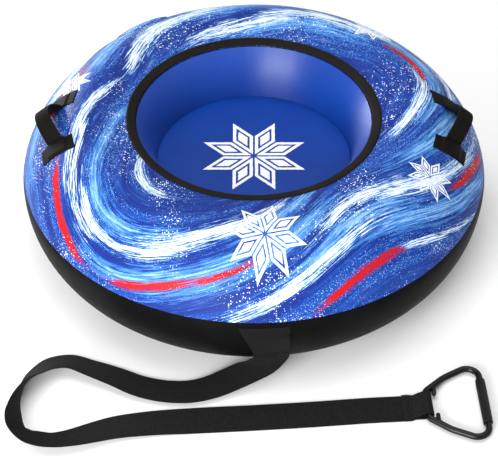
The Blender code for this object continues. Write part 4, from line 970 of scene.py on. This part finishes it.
hole_radius = VALVE_NECK_RADIUS + CLEARANCE
hole_section = [(0.0, -HOLE_REACH), (hole_radius, -HOLE_REACH), (hole_radius, HOLE_REACH),
                (0.0, HOLE_REACH)]
hole = turned("valve_hole", np.array(hole_section), HOLE_SIDES, closed=False)
valve_origin, *valve_axes = skin_frame(VALVE_ANGLE, valve_arc)
hole_points = valve_origin + points_of(hole.data) @ np.array(valve_axes)
hole.data.vertices.foreach_set("co", hole_points.astype(np.float32).ravel())
cutting = printed_top.modifiers.new("valve hole", "BOOLEAN")
cutting.object, cutting.solver = hole, "EXACT"
bpy.context.view_layer.update()
cut_mesh = bpy.data.meshes.new_from_object(
    printed_top.evaluated_get(bpy.context.evaluated_depsgraph_get()))
printed_top.modifiers.clear()
printed_top.data = cut_mesh
bpy.data.objects.remove(hole)
print("printed top has", len(printed_top.data.polygons), "faces after the cut")

# %% [markdown]
# ## Where the print's colours lie
# The top is printed film. Its print here is a plain design: wind-blown streaks that wander round the
# tube in waves. Plain noise would give clouds, so each point of the skin gets a place in a wind that
# runs round the tube: two slow coordinates round it and one fast one across it. Noise read there
# comes out as long streaks, with no seam where the circle closes.

# %% Wind coordinates
# how many waves round the tube, their height in metres and their start
WIND_WAVES = ((2, 0.066, 3.1), (3, 0.028, 4.7), (7, 0.006, 2.0))
WIND_ROUND = 3.2
WIND_ACROSS = 118.0


def section_place(points):
    """Angle round the tube and distance from the crown along the section, for points near the
    skin. The distance is read from the point's angle about the section's own middle."""
    angle = np.arctan2(points[:, 1], points[:, 0])
    reach = np.hypot(points[:, 0], points[:, 1])
    turn = np.arctan2(points[:, 2] - EQUATOR_HEIGHT, reach - CROWN_RADIUS)
    span = slice(0, 2 * SECTION_SAMPLES - 1)
    table = np.arctan2(SECTION[span, 1] - EQUATOR_HEIGHT, SECTION[span, 0] - CROWN_RADIUS)
    return angle, np.interp(-turn, -table, SECTION_ARC[span])


def wind_place(angle, arc):
    """The distance across the wind: arc + sum of height * sin(count * angle + start)."""
    return arc + sum(tall * np.sin(count * angle + start) for count, tall, start in WIND_WAVES)


print("streaks are about", round(WIND_ACROSS * CROWN_RADIUS / WIND_ROUND), "times longer than wide")

# %% [markdown]
# On top of the streaks lie broad strokes: white, sky blue and a few red ones. They could be painted
# into a picture, but a formula stays sharp at any size. A stroke is a soft hill over the wind
# coordinates: exp(-(distance / width)^2) across it and exp(-(angle / reach)^4) along it. The shader
# later cuts each hill off at a ragged height, as a dry brush would.

# %% Strokes of the print
# middle angle and reach in degrees, distance from the crown there and width in metres
WHITE_STROKES = ((-128, 30, 0.096, 0.014), (-102, 28, 0.024, 0.021), (-72, 30, 0.082, 0.014),
                 (-50, 24, -0.006, 0.018), (-24, 28, 0.064, 0.017), (6, 26, 0.002, 0.017),
                 (32, 26, 0.086, 0.015), (63, 30, 0.018, 0.023), (96, 28, -0.036, 0.019),
                 (90, 26, 0.058, 0.015), (126, 30, 0.008, 0.023), (150, 24, 0.078, 0.017),
                 (-178, 26, 0.010, 0.014), (-156, 22, 0.050, 0.012), (-84, 20, 0.132, 0.010),
                 (-36, 18, 0.130, 0.009), (118, 20, 0.118, 0.012), (-140, 22, -0.038, 0.014))
SKY_STROKES = ((-140, 34, 0.050, 0.019), (-112, 30, 0.112, 0.020), (-86, 34, 0.056, 0.024),
               (-60, 28, 0.034, 0.022), (-32, 30, 0.098, 0.024), (-8, 30, 0.036, 0.024),
               (20, 32, 0.050, 0.024), (46, 30, 0.104, 0.022), (72, 32, -0.016, 0.024),
               (100, 32, 0.026, 0.024), (136, 32, 0.050, 0.026), (168, 30, 0.100, 0.024),
               (-168, 28, -0.030, 0.014), (-75, 24, -0.036, 0.018))
RED_STROKES = ((-150, 16, 0.112, 0.0115), (-116, 12, 0.136, 0.0095), (-62, 14, 0.116, 0.0100),
               (-12, 13, 0.118, 0.0095), (28, 12, 0.030, 0.0080), (66, 13, 0.096, 0.0085),
               (106, 12, 0.098, 0.0085), (168, 15, 0.060, 0.0080), (-96, 10, 0.086, 0.0070))


def stroke_cover(angle, across, strokes):
    """The highest of the strokes' hills at each point."""
    middle, reach, arc, width = np.array(strokes).T[:, :, None]
    place = wind_place(np.radians(middle), arc)
    turn = (np.degrees(angle)[None] - middle + 180) % 360 - 180
    hills = np.exp(-((across[None] - place) / width) ** 2 - (turn / reach) ** 4)
    return hills.max(axis=0)


def add_print_places(mesh):
    """Write the wind coordinates and the three covers to a mesh's points."""
    angle, arc = section_place(points_of(mesh))
    across = wind_place(angle, arc)
    wind = np.column_stack([WIND_ROUND * np.cos(angle), WIND_ROUND * np.sin(angle),
                            WIND_ACROSS * across])
    mesh.attributes.new("wind", "FLOAT_VECTOR", "POINT").data.foreach_set("vector", wind.ravel())
    for name, strokes in (("white", WHITE_STROKES), ("sky", SKY_STROKES), ("red", RED_STROKES)):
        cover = stroke_cover(angle, across, strokes).astype(np.float32)
        mesh.attributes.new(name, "FLOAT", "POINT").data.foreach_set("value", cover)


for piece in (printed_top, flap_cover, flap_weld):
    add_print_places(piece.data)
print("strokes:", len(WHITE_STROKES), "white,", len(SKY_STROKES), "sky,", len(RED_STROKES), "red")

# %% [markdown]
# ## Materials
# A node tree is a long sum, and written node by node it is hard to read. So a shader value is
# wrapped in a small class that can be added and multiplied like a number, and each such step puts
# one Math node into the tree. Colours are given as the linear values that the shader works in.

# %% Node helpers
class Field:
    """A shader value that sums like a number: each operator adds one Math node to its tree."""

    def __init__(self, socket):
        self.socket = socket

    def __add__(self, other):
        return sums("ADD", self, other)

    def __sub__(self, other):
        return sums("SUBTRACT", self, other)

    def __rsub__(self, other):
        return sums("SUBTRACT", other, self)

    def __mul__(self, other):
        return sums("MULTIPLY", self, other)

    def __abs__(self):
        return sums("ABSOLUTE", self)


def add(kind, inputs, tree=None, **settings):
    """A node's outputs, each as a field. Inputs are (name, value) pairs, and the tree is the one
    that the inputs' first field belongs to."""
    inputs = list(inputs)
    tree = tree or next(value.socket.id_data for _, value in inputs if isinstance(value, Field))
    made = tree.nodes.new("ShaderNode" + kind)
    for name, value in settings.items():
        setattr(made, name, value)
    for name, value in inputs:
        if isinstance(value, Field):
            tree.links.new(value.socket, made.inputs[name])
        else:
            made.inputs[name].default_value = value
    return {output.name: Field(output) for output in made.outputs if output.enabled}


def sums(operation, *values):
    """One step of arithmetic between fields or numbers."""
    return add("Math", enumerate(values), operation=operation)["Value"]


def threshold(value, low, high):
    """0 below low, 1 above high, and a smooth step between them."""
    return add("MapRange", (("Value", value), ("From Min", low), ("From Max", high)),
               interpolation_type="SMOOTHSTEP")["Result"]


def blended(share, first, second):
    """One colour laid over another by a share. A plain colour is a (red, green, blue) triple."""
    first, second = (value if isinstance(value, Field) else (*value, 1.0) for value in (first, second))
    return add("Mix", ((0, share), (6, first), (7, second)), data_type="RGBA")["Result"]


def noise(place, scale, detail=4.0, roughness=0.55):
    """Noise from 0 to 1, read at a place."""
    return add("TexNoise", (("Vector", place), ("Scale", scale), ("Detail", detail),
                            ("Roughness", roughness)))["Fac"]


def clouds(place, low, high, scale, detail=4.0, roughness=0.55):
    """Soft patches: 1 where noise passes a threshold and 0 elsewhere."""
    return threshold(noise(place, scale, detail, roughness), low, high)


def bump(height, distance, strength=1.0):
    """A normal that follows a height given in units of a distance."""
    return add("Bump", (("Height", height), ("Distance", distance), ("Strength", strength)))["Normal"]


def finish(name, roughness, specular):
    """A new material, its shader and its object coordinates."""
    made = bpy.data.materials.new(name)
    made.use_nodes = True
    shader = made.node_tree.nodes["Principled BSDF"]
    shader.inputs["Roughness"].default_value = roughness
    shader.inputs["Specular IOR Level"].default_value = specular
    return made, shader, add("TexCoord", (), made.node_tree)["Object"]


def feed(shader, **fields):
    """Link fields to the shader's inputs, whose names are given with _ for a space."""
    for name, field in fields.items():
        shader.id_data.links.new(field.socket, shader.inputs[name.replace("_", " ")])


def dress(material, *things):
    """Give a finish to pieces, in place of what they have."""
    for thing in things:
        thing.data.materials.clear()
        thing.data.materials.append(material)
    print(material.name, "on", ", ".join(thing.name for thing in things))


print("materials that came with the frame:", len(bpy.data.materials))

# %% [markdown]
# ## The printed film
# The shader lays the print down as a printer would: dark blue first, then blue and sky streaks, the
# white strokes, a pale mist, the red strokes, white spatter and last four plain petal stars. A petal
# star is the old quilt and knitting pattern: eight rhombic petals round a point, each a line with a
# core. It could be cut from sheet as a piece of its own, but print has no thickness, so it is a mask.

# %% Petal star mask
# depths inside a petal, in star sizes: where its line runs, and where its core starts
STAR_LINE = (0.014, 0.070)
STAR_CORE = 0.108
STAR_BLUR = 0.008
STAR_RAGGED = 0.020
STAR_GRAIN = 160.0


def petal_star(place, centre, size, turn):
    """1 on a star of eight petals. With (x, y) in star sizes folded to one eighth, u runs along the
    petal's axis, v across it: depth = min(u, 1 - u) * sin 22.5 - |v| * cos 22.5."""
    local = add("Mapping", (("Vector", place), ("Location", (*centre, 0.0)),
                            ("Rotation", (0.0, 0.0, math.radians(turn))),
                            ("Scale", (size, size, 1.0))), vector_type="TEXTURE")["Vector"]
    parts = add("SeparateXYZ", ((0, local),))
    x, y = abs(parts["X"]), abs(parts["Y"])
    far, near = sums("MAXIMUM", x, y), sums("MINIMUM", x, y)
    cosine, sine = math.cos(math.tau / 16), math.sin(math.tau / 16)
    along, beside = far * cosine + near * sine, abs(near * cosine - far * sine)
    depth = sums("MINIMUM", along, 1.0 - along) * sine - beside * cosine
    depth = depth + (noise(place, STAR_GRAIN, detail=3.0) - 0.5) * STAR_RAGGED
    outer, inner, core = (threshold(depth, start, start + STAR_BLUR)
                          for start in (*STAR_LINE, STAR_CORE))
    return sums("MAXIMUM", outer - inner, core)


print("a star's line is", round(STAR_LINE[1] - STAR_LINE[0], 3), "of its size")

# %% Printed film
DEEP_BLUE = (0.0075, 0.022, 0.170)
ROYAL_BLUE = (0.011, 0.056, 0.300)
SKY_BLUE = (0.042, 0.165, 0.470)
PALE_BLUE = (0.200, 0.400, 0.680)
SNOW_WHITE = (0.680, 0.740, 0.790)
SIGNAL_RED = (0.420, 0.009, 0.012)
DARK_RED = (0.230, 0.008, 0.036)
# scale, detail and roughness of the noise behind each grain, and how the hairs are drawn out
BROAD = (0.22, 3.0)
STREAKS = (1.0, 9.0, 0.68)
GUSTS = (1.7, 8.0, 0.66)
HAIRS = (1.0, 5.0, 0.62)
FLECKS = (5.5, 5.0, 0.75)
HAIR_STRETCH = (1.7, 1.7, 4.4)
# how much a height takes from its cover, and then from each of its grains
BASE_MIX = (0.7, 1.0, 0.6)
SKY_MIX = (0.60, 1.7, 1.1, 0.9)
WHITE_MIX = (0.90, 1.4, 2.4, 2.1)
RED_MIX = (0.95, 1.3, 1.9, 1.5)
# the height where a coat starts, where it is full, and its colour
BASE_COATS = ((0.22, 0.50, ROYAL_BLUE),)
SKY_COATS = ((0.24, 0.44, SKY_BLUE), (0.54, 0.74, PALE_BLUE))
WHITE_COATS = ((0.57, 0.70, PALE_BLUE), (0.77, 0.83, SNOW_WHITE))
RED_COATS = ((0.46, 0.56, DARK_RED), (0.56, 0.64, SIGNAL_RED))
# scale of each scatter of dots, and their size in its cells
MIST_DOTS = (460.0, 0.46)
SMALL_DOTS = (300.0, 0.44)
LARGE_DOTS = (140.0, 0.30)
DOT_BLUR = 0.06
# centre in metres, size in metres and turn in degrees
STARS = (((0.018, -0.304), 0.072, 12), ((0.292, -0.150), 0.042, 40),
         ((0.212, 0.250), 0.050, 22), ((-0.318, 0.098), 0.040, 5))


def speckle(place, scale, size, gate):
    """Small round dots: the distance to the nearest point of a scatter, under a size that a slow
    noise opens and shuts."""
    scatter = add("TexVoronoi", (("Vector", place), ("Scale", scale)))
    chance = add("SeparateColor", ((0, scatter["Color"]),))["Red"]
    return threshold(chance * size * gate - scatter["Distance"], 0.0, DOT_BLUR)


def brushed(mix, cover, *grains):
    """A height: the cover times its share, raised and lowered by each grain times its own."""
    height = cover * mix[0]
    for amount, grain in zip(mix[1:], grains):
        height = height + (grain - 0.5) * amount
    return height


def coated(colour, height, coats):
    """A colour under coats, each laid where the height passes its start."""
    for low, high, paint in coats:
        colour = blended(threshold(height, low, high), colour, paint)
    return colour


def printed_film():
    """The coats of the print, laid one over the other."""
    made, shader, place = finish("printed_film", roughness=0.44, specular=0.08)
    wind, white, sky, red = (add("Attribute", (), made.node_tree, attribute_name=name)
                             for name in ("wind", "white", "sky", "red"))
    wind = wind["Vector"]
    hair_place = add("Mapping", (("Vector", wind), ("Scale", HAIR_STRETCH)))["Vector"]
    broad, streaks, gusts, flecks = (noise(wind, *kind) for kind in (BROAD, STREAKS, GUSTS, FLECKS))
    hairs = noise(hair_place, *HAIRS)
    gate = clouds(place, 0.34, 0.66, scale=9.0, detail=3.0)
    mist = speckle(place, *MIST_DOTS, threshold(broad, 0.34, 0.62))
    spatter = sums("MAXIMUM", speckle(place, *SMALL_DOTS, gate), speckle(place, *LARGE_DOTS, gate))
    colour = coated(DEEP_BLUE, brushed(BASE_MIX, broad, streaks, hairs), BASE_COATS)
    colour = coated(colour, brushed(SKY_MIX, sky["Fac"], gusts, hairs, flecks), SKY_COATS)
    colour = coated(colour, brushed(WHITE_MIX, white["Fac"], streaks, hairs, flecks), WHITE_COATS)
    colour = blended(mist, colour, PALE_BLUE)
    colour = coated(colour, brushed(RED_MIX, red["Fac"], streaks, hairs, flecks), RED_COATS)
    for mask in (spatter, *(petal_star(place, *star) for star in STARS)):
        colour = blended(mask, colour, SNOW_WHITE)
    grain = noise(place, scale=900.0, detail=2.0) * 0.5 + noise(place, scale=60.0)
    feed(shader, Base_Color=colour, Normal=bump(grain, distance=0.00012))
    return made


dress(printed_film(), printed_top, flap_cover, flap_weld)

# %% [markdown]
# ## Blue seat
# The seat is plain dyed sheet with a satin face. Such sheet is drawn off a roller, so on the wall its
# highlight is stretched up and down into a column. Fine scratches in a bump could do that, but would
# need far finer noise than the picture holds. The shader's anisotropy, turned a quarter, does it
# evenly. The floor is flat and duller. One plain petal star marks its middle.

# %% Blue seat
SEAT_BLUE = (0.0022, 0.0430, 0.2900)
SEAT_BLUE_DEEP = (0.0016, 0.0350, 0.2550)
SEAT_WHITE = (0.900, 0.920, 0.950)
SEAT_STAR = ((0.0, 0.004), 0.100, 0)
QUARTER_TURN = 0.25


def blue_sheet(name, roughness, specular, stretch, stars=()):
    """Dyed sheet: two near blues in slow clouds, a fine grain, and the stars that are asked for."""
    made, shader, place = finish(name, roughness, specular)
    shader.inputs["Anisotropic"].default_value = stretch
    shader.inputs["Anisotropic Rotation"].default_value = QUARTER_TURN
    colour = blended(clouds(place, 0.35, 0.65, scale=6.0, detail=3.0), SEAT_BLUE, SEAT_BLUE_DEEP)
    for star in stars:
        colour = blended(petal_star(place, *star), colour, SEAT_WHITE)
    grain = noise(place, scale=1400.0, detail=2.0) * 0.4 + noise(place, scale=14.0, detail=2.0)
    feed(shader, Base_Color=colour, Normal=bump(grain, distance=0.00015))
    return made


wall_blue = blue_sheet("blue_wall_sheet", roughness=0.42, specular=0.50, stretch=0.75)
seat_blue = blue_sheet("blue_seat_sheet", roughness=0.40, specular=0.20, stretch=0.0, stars=[SEAT_STAR])
dress(wall_blue, seat_well, weld_ring)
dress(seat_blue, seat_sheet)

# %% [markdown]
# ## Black sheet, band and patches
# The underside is black sheet with a fine pebbled grain that hides scuffs. The band and the patches are
# a duller, browner black, and the patches' copy of it is darker still: a painted shade, because the
# patches face up into the light. Modelled pebbles would need millions of faces, so the grain is a bump
# from small cells. Each sheet has its own grain size and a slow change of roughness.

# %% Black finishes
ROUGHNESS_SWING = 0.18
GRAIN_STRENGTH = 0.6


def black_sheet(name, colour, worn, roughness, specular, grain_scale, grain_depth):
    """A dark sheet: grain from small cells, slow clouds between two near colours."""
    made, shader, place = finish(name, roughness, specular)
    wear = clouds(place, 0.42, 0.74, scale=11.0, detail=5.0, roughness=0.6)
    cells = add("TexVoronoi", (("Vector", place), ("Scale", grain_scale)), feature="SMOOTH_F1")
    feed(shader, Base_Color=blended(wear, colour, worn),
         Roughness=(noise(place, scale=34.0) - 0.5) * ROUGHNESS_SWING + roughness,
         Normal=bump(cells["Distance"], grain_depth, GRAIN_STRENGTH))
    return made


skin_black = black_sheet("black_side_sheet", (0.0026, 0.0026, 0.0027), (0.0042, 0.0042, 0.0044),
                         roughness=0.48, specular=0.03, grain_scale=520.0, grain_depth=0.00016)
band_black = black_sheet("band_sheet", (0.0078, 0.0062, 0.0046), (0.0105, 0.0086, 0.0068),
                         roughness=0.66, specular=0.06, grain_scale=760.0, grain_depth=0.00014)
# The patches' black is the band's black made darker: painted shade, because the patches face up into
# the light.
patch_black_shaded = black_sheet("patch_sheet_shaded", (0.0050, 0.0044, 0.0036), (0.0072, 0.0062, 0.0052),
                          roughness=0.62, specular=0.06, grain_scale=760.0, grain_depth=0.00014)
dress(skin_black, black_outside, slide_sheet, inside_wall, chamber_tape)
dress(band_black, rim_welt)
dress(patch_black_shaded, *patches)

# %% [markdown]
# ## Webbing and pocket cloth
# Webbing is a dense narrow weave: ribs across it where the weft runs, crossed by fine warp ends.
# Real yarns could be modelled, but at two millimetres each they would be far too many. The pattern
# follows the strip, so it reads the strip's own UV map in metres. Each rib is a sine along the strip
# whose phase sways by a third of a step over every warp end.

# %% Woven finishes
RIB_SWAY = 1.1
END_SHARE = 0.35
RIB_PAINTED_SHADE = 0.22
YARN_SHADE = 0.8
LEAST_SHADE = 0.08


def woven(name, colour, light, rib, end, depth, roughness=0.78):
    """A weave on the piece's UV map, with u along it and v across it, and rib and end as steps:
    height = sin(tau u / rib + sway * sin(tau v / end)) + share * sin(tau v / end)."""
    made, shader, place = finish(name, roughness, specular=0.05)
    parts = add("SeparateXYZ", ((0, add("UVMap", (), made.node_tree, uv_map="metres")["UV"]),))
    ends = sums("SINE", parts["Y"] * (math.tau / end))
    height = ends * END_SHARE + sums("SINE", parts["X"] * (math.tau / rib) + ends * RIB_SWAY)
    # The colour is lighter on the weave's raised ribs, a painted shade and highlight from its relief;
    # the noise adds the yarn's own random tone.
    shade = height * RIB_PAINTED_SHADE + noise(place, scale=240.0, detail=3.0) * YARN_SHADE + LEAST_SHADE
    shader.inputs["Sheen Weight"].default_value = 0.02
    shader.inputs["Sheen Roughness"].default_value = 0.5
    feed(shader, Base_Color=blended(threshold(shade, 0.10, 0.95), colour, light),
         Normal=bump(height, depth, strength=0.8))
    return made


strap_cloth = woven("strap_webbing", (0.0028, 0.0028, 0.0031), (0.0155, 0.0155, 0.0165),
                    rib=0.0026, end=0.0021, depth=0.00022)
handle_cloth = woven("handle_webbing", (0.0022, 0.0021, 0.0019), (0.0074, 0.0068, 0.0060),
                     rib=0.0022, end=0.0018, depth=0.00018)
pocket_cloth = woven("pocket_cloth", (0.0028, 0.0028, 0.0030), (0.0085, 0.0085, 0.0088),
                     rib=0.0016, end=0.0016, depth=0.00010, roughness=0.70)
thread = woven("thread", (0.016, 0.016, 0.017), (0.034, 0.034, 0.036),
               rib=0.0016, end=0.0016, depth=0.00005)
dress(strap_cloth, tow_webbing, strap_end, sewn_tail)
dress(handle_cloth, *handle_webbing)
dress(pocket_cloth, pocket)
dress(thread, end_stitches)

# %% [markdown]
# ## Steel, rubber and moulded parts
# The ring is steel wire under a satin black coat that has begun to shine where hands and snow rub it.
# The sleeve is dull rubber. The valve's parts are moulded plastic, which is smooth with a faint
# orange-peel skin. A flat black would hide their shapes, so each has slow clouds of shade. The
# valve's parts stay as the frame gives them, because their shapes are already right.

# %% Hard finishes
WIRE_ROUGHNESS = 0.33
RUBBED_ROUGHNESS = 0.25


def coated_wire():
    """Satin black coat: rubbed patches are a little lighter and smoother."""
    made, shader, place = finish("coated_wire", WIRE_ROUGHNESS, specular=0.24)
    rubbed = clouds(place, 0.56, 0.74, scale=55.0, detail=6.0, roughness=0.65)
    feed(shader, Base_Color=blended(rubbed, (0.0020, 0.0020, 0.0021), (0.0060, 0.0060, 0.0062)),
         Roughness=rubbed * (RUBBED_ROUGHNESS - WIRE_ROUGHNESS) + WIRE_ROUGHNESS,
         Normal=bump(noise(place, scale=420.0, detail=3.0), distance=0.00010))
    return made


def moulded(name, colour, light, roughness, specular):
    """Moulded material: slow clouds of shade and a faint uneven skin."""
    made, shader, place = finish(name, roughness, specular)
    shade = clouds(place, 0.40, 0.70, scale=90.0)
    feed(shader, Base_Color=blended(shade, colour, light),
         Normal=bump(noise(place, scale=700.0, detail=2.0), distance=0.00008))
    return made


rubber = moulded("sleeve_rubber", (0.0030, 0.0030, 0.0031), (0.0055, 0.0055, 0.0057),
                 roughness=0.46, specular=0.20)
plastic = moulded("valve_moulding", (0.022, 0.022, 0.024), (0.032, 0.032, 0.034),
                  roughness=0.42, specular=0.45)
dress(coated_wire(), wire_ring, *ring_ears)
dress(rubber, sleeve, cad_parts["valve_tether"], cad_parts["valve_check_disc"])
dress(plastic, *(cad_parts[name] for name in ("valve_base", "valve_insert", "valve_cap")))

# %% [markdown]
# ## Tie the pieces to the frame
# Each piece rides on the body that carries it, says which solid it stands for, and names the slot of
# the record that its finish belongs to.

# %% Rides, replaced solids and slots
STANDS_FOR = ((printed_top, "tube", "top_skin", "printed_pvc"),
              (black_outside, "tube", "lower_skin", "black_pvc"),
              (seat_well, "tube", "seat_wall", "blue_pvc"),
              (seat_sheet, "tube", "seat_floor", "blue_pvc"),
              (weld_ring, "tube", "seat_weld_ring", "blue_pvc"),
              (inside_wall, "tube", "inner_wall", "black_pvc"),
              (slide_sheet, "tube", "base_sheet", "black_pvc"),
              (rim_welt, "tube", "rim_band", "band_pvc"),
              (chamber_tape, "tube", "girth_seam_tape", "black_pvc"),
              (pocket, "tube", "tow_patch", "band_pvc"),
              (sewn_tail, "tube", "tow_strap_tail", "webbing"),
              (tow_webbing, "tube", "tow_strap", "webbing"),
              (strap_end, "tube", "strap_end_loop", "webbing"),
              (flap_weld, "tube", "valve_flap_weld", "printed_pvc"),
              (flap_cover, "flap", "valve_flap", "printed_pvc"),
              (wire_ring, "ring", "pull_ring", "coated_steel"),
              (sleeve, "grip", "grip_sleeve", "grip_rubber"))
for piece, body, node, slot in STANDS_FOR:
    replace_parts(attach(piece, body), node)
for ear in ring_ears:
    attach(ear, "ring")
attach(end_stitches, "tube")
print("solids replaced by", len(STANDS_FOR) + len(handle_webbing) + len(patches), "pieces")

# %% [markdown]
# ## Studio
# The photograph is a product shot on white: one broad soft light from above, a wide soft box at the
# front left whose highlight the seat's wall draws out into a pale column, and a third box behind on
# the left. Sun lamps would give hard shadows, so all three are area lights, with a white world round
# them. The floor is nearly white, darker only where the tube shades it, and isn't part of the object.

# %% Floor, lights and world
FLOOR_SIZE = 30.0
FLOOR_DROP = 0.0002
TUBE_MIDDLE = np.array([0.0, 0.0, 0.15])
WORLD_STRENGTH = 0.56
# place, size and power of each soft box, in metres and watts
SOFT_BOXES = {"ceiling_box": ((0.2, 0.3, 3.2), (3.0, 3.0), 72.0),
              "front_left_box": ((-1.10, -2.4, 0.90), (1.6, 1.3), 120.0),
              "back_left_box": ((-2.1, 2.4, 0.75), (1.4, 0.8), 80.0)}


def floor():
    """A plain pale floor just under the slide sheet."""
    half = FLOOR_SIZE / 2
    mesh = bpy.data.meshes.new("floor")
    mesh.from_pydata([(-half, -half, 0.0), (half, -half, 0.0), (half, half, 0.0), (-half, half, 0.0)],
                     [], [(0, 1, 2, 3)])
    thing = new_object("floor", mesh)
    thing.location.z = -FLOOR_DROP
    made, shader, place = finish("pale_floor", roughness=0.55, specular=0.2)
    shade = clouds(place, 0.3, 0.7, scale=1.5, detail=2.0)
    feed(shader, Base_Color=blended(shade, (0.80, 0.80, 0.80), (0.82, 0.82, 0.82)))
    mesh.materials.append(made)


def soft_box(name, place, size, power):
    """A rectangular light that faces the tube's middle."""
    light = bpy.data.lights.new(name, "AREA")
    light.shape, light.size, light.size_y, light.energy = "RECTANGLE", *size, power
    thing = new_object(name, light)
    thing.location = place
    away = unit(place - TUBE_MIDDLE)
    thing.rotation_euler = (math.acos(away[2]), 0.0, math.atan2(away[1], away[0]) + math.pi / 2)


floor()
for name, settings in SOFT_BOXES.items():
    soft_box(name, *settings)
world = bpy.data.worlds.new("studio")
bpy.context.scene.world = world
world.use_nodes = True
background = world.node_tree.nodes["Background"]
background.inputs["Color"].default_value = (1.0, 1.0, 1.0, 1.0)
background.inputs["Strength"].default_value = WORLD_STRENGTH
bpy.context.scene.view_settings.view_transform = "Standard"
print("lights:", ", ".join(SOFT_BOXES))
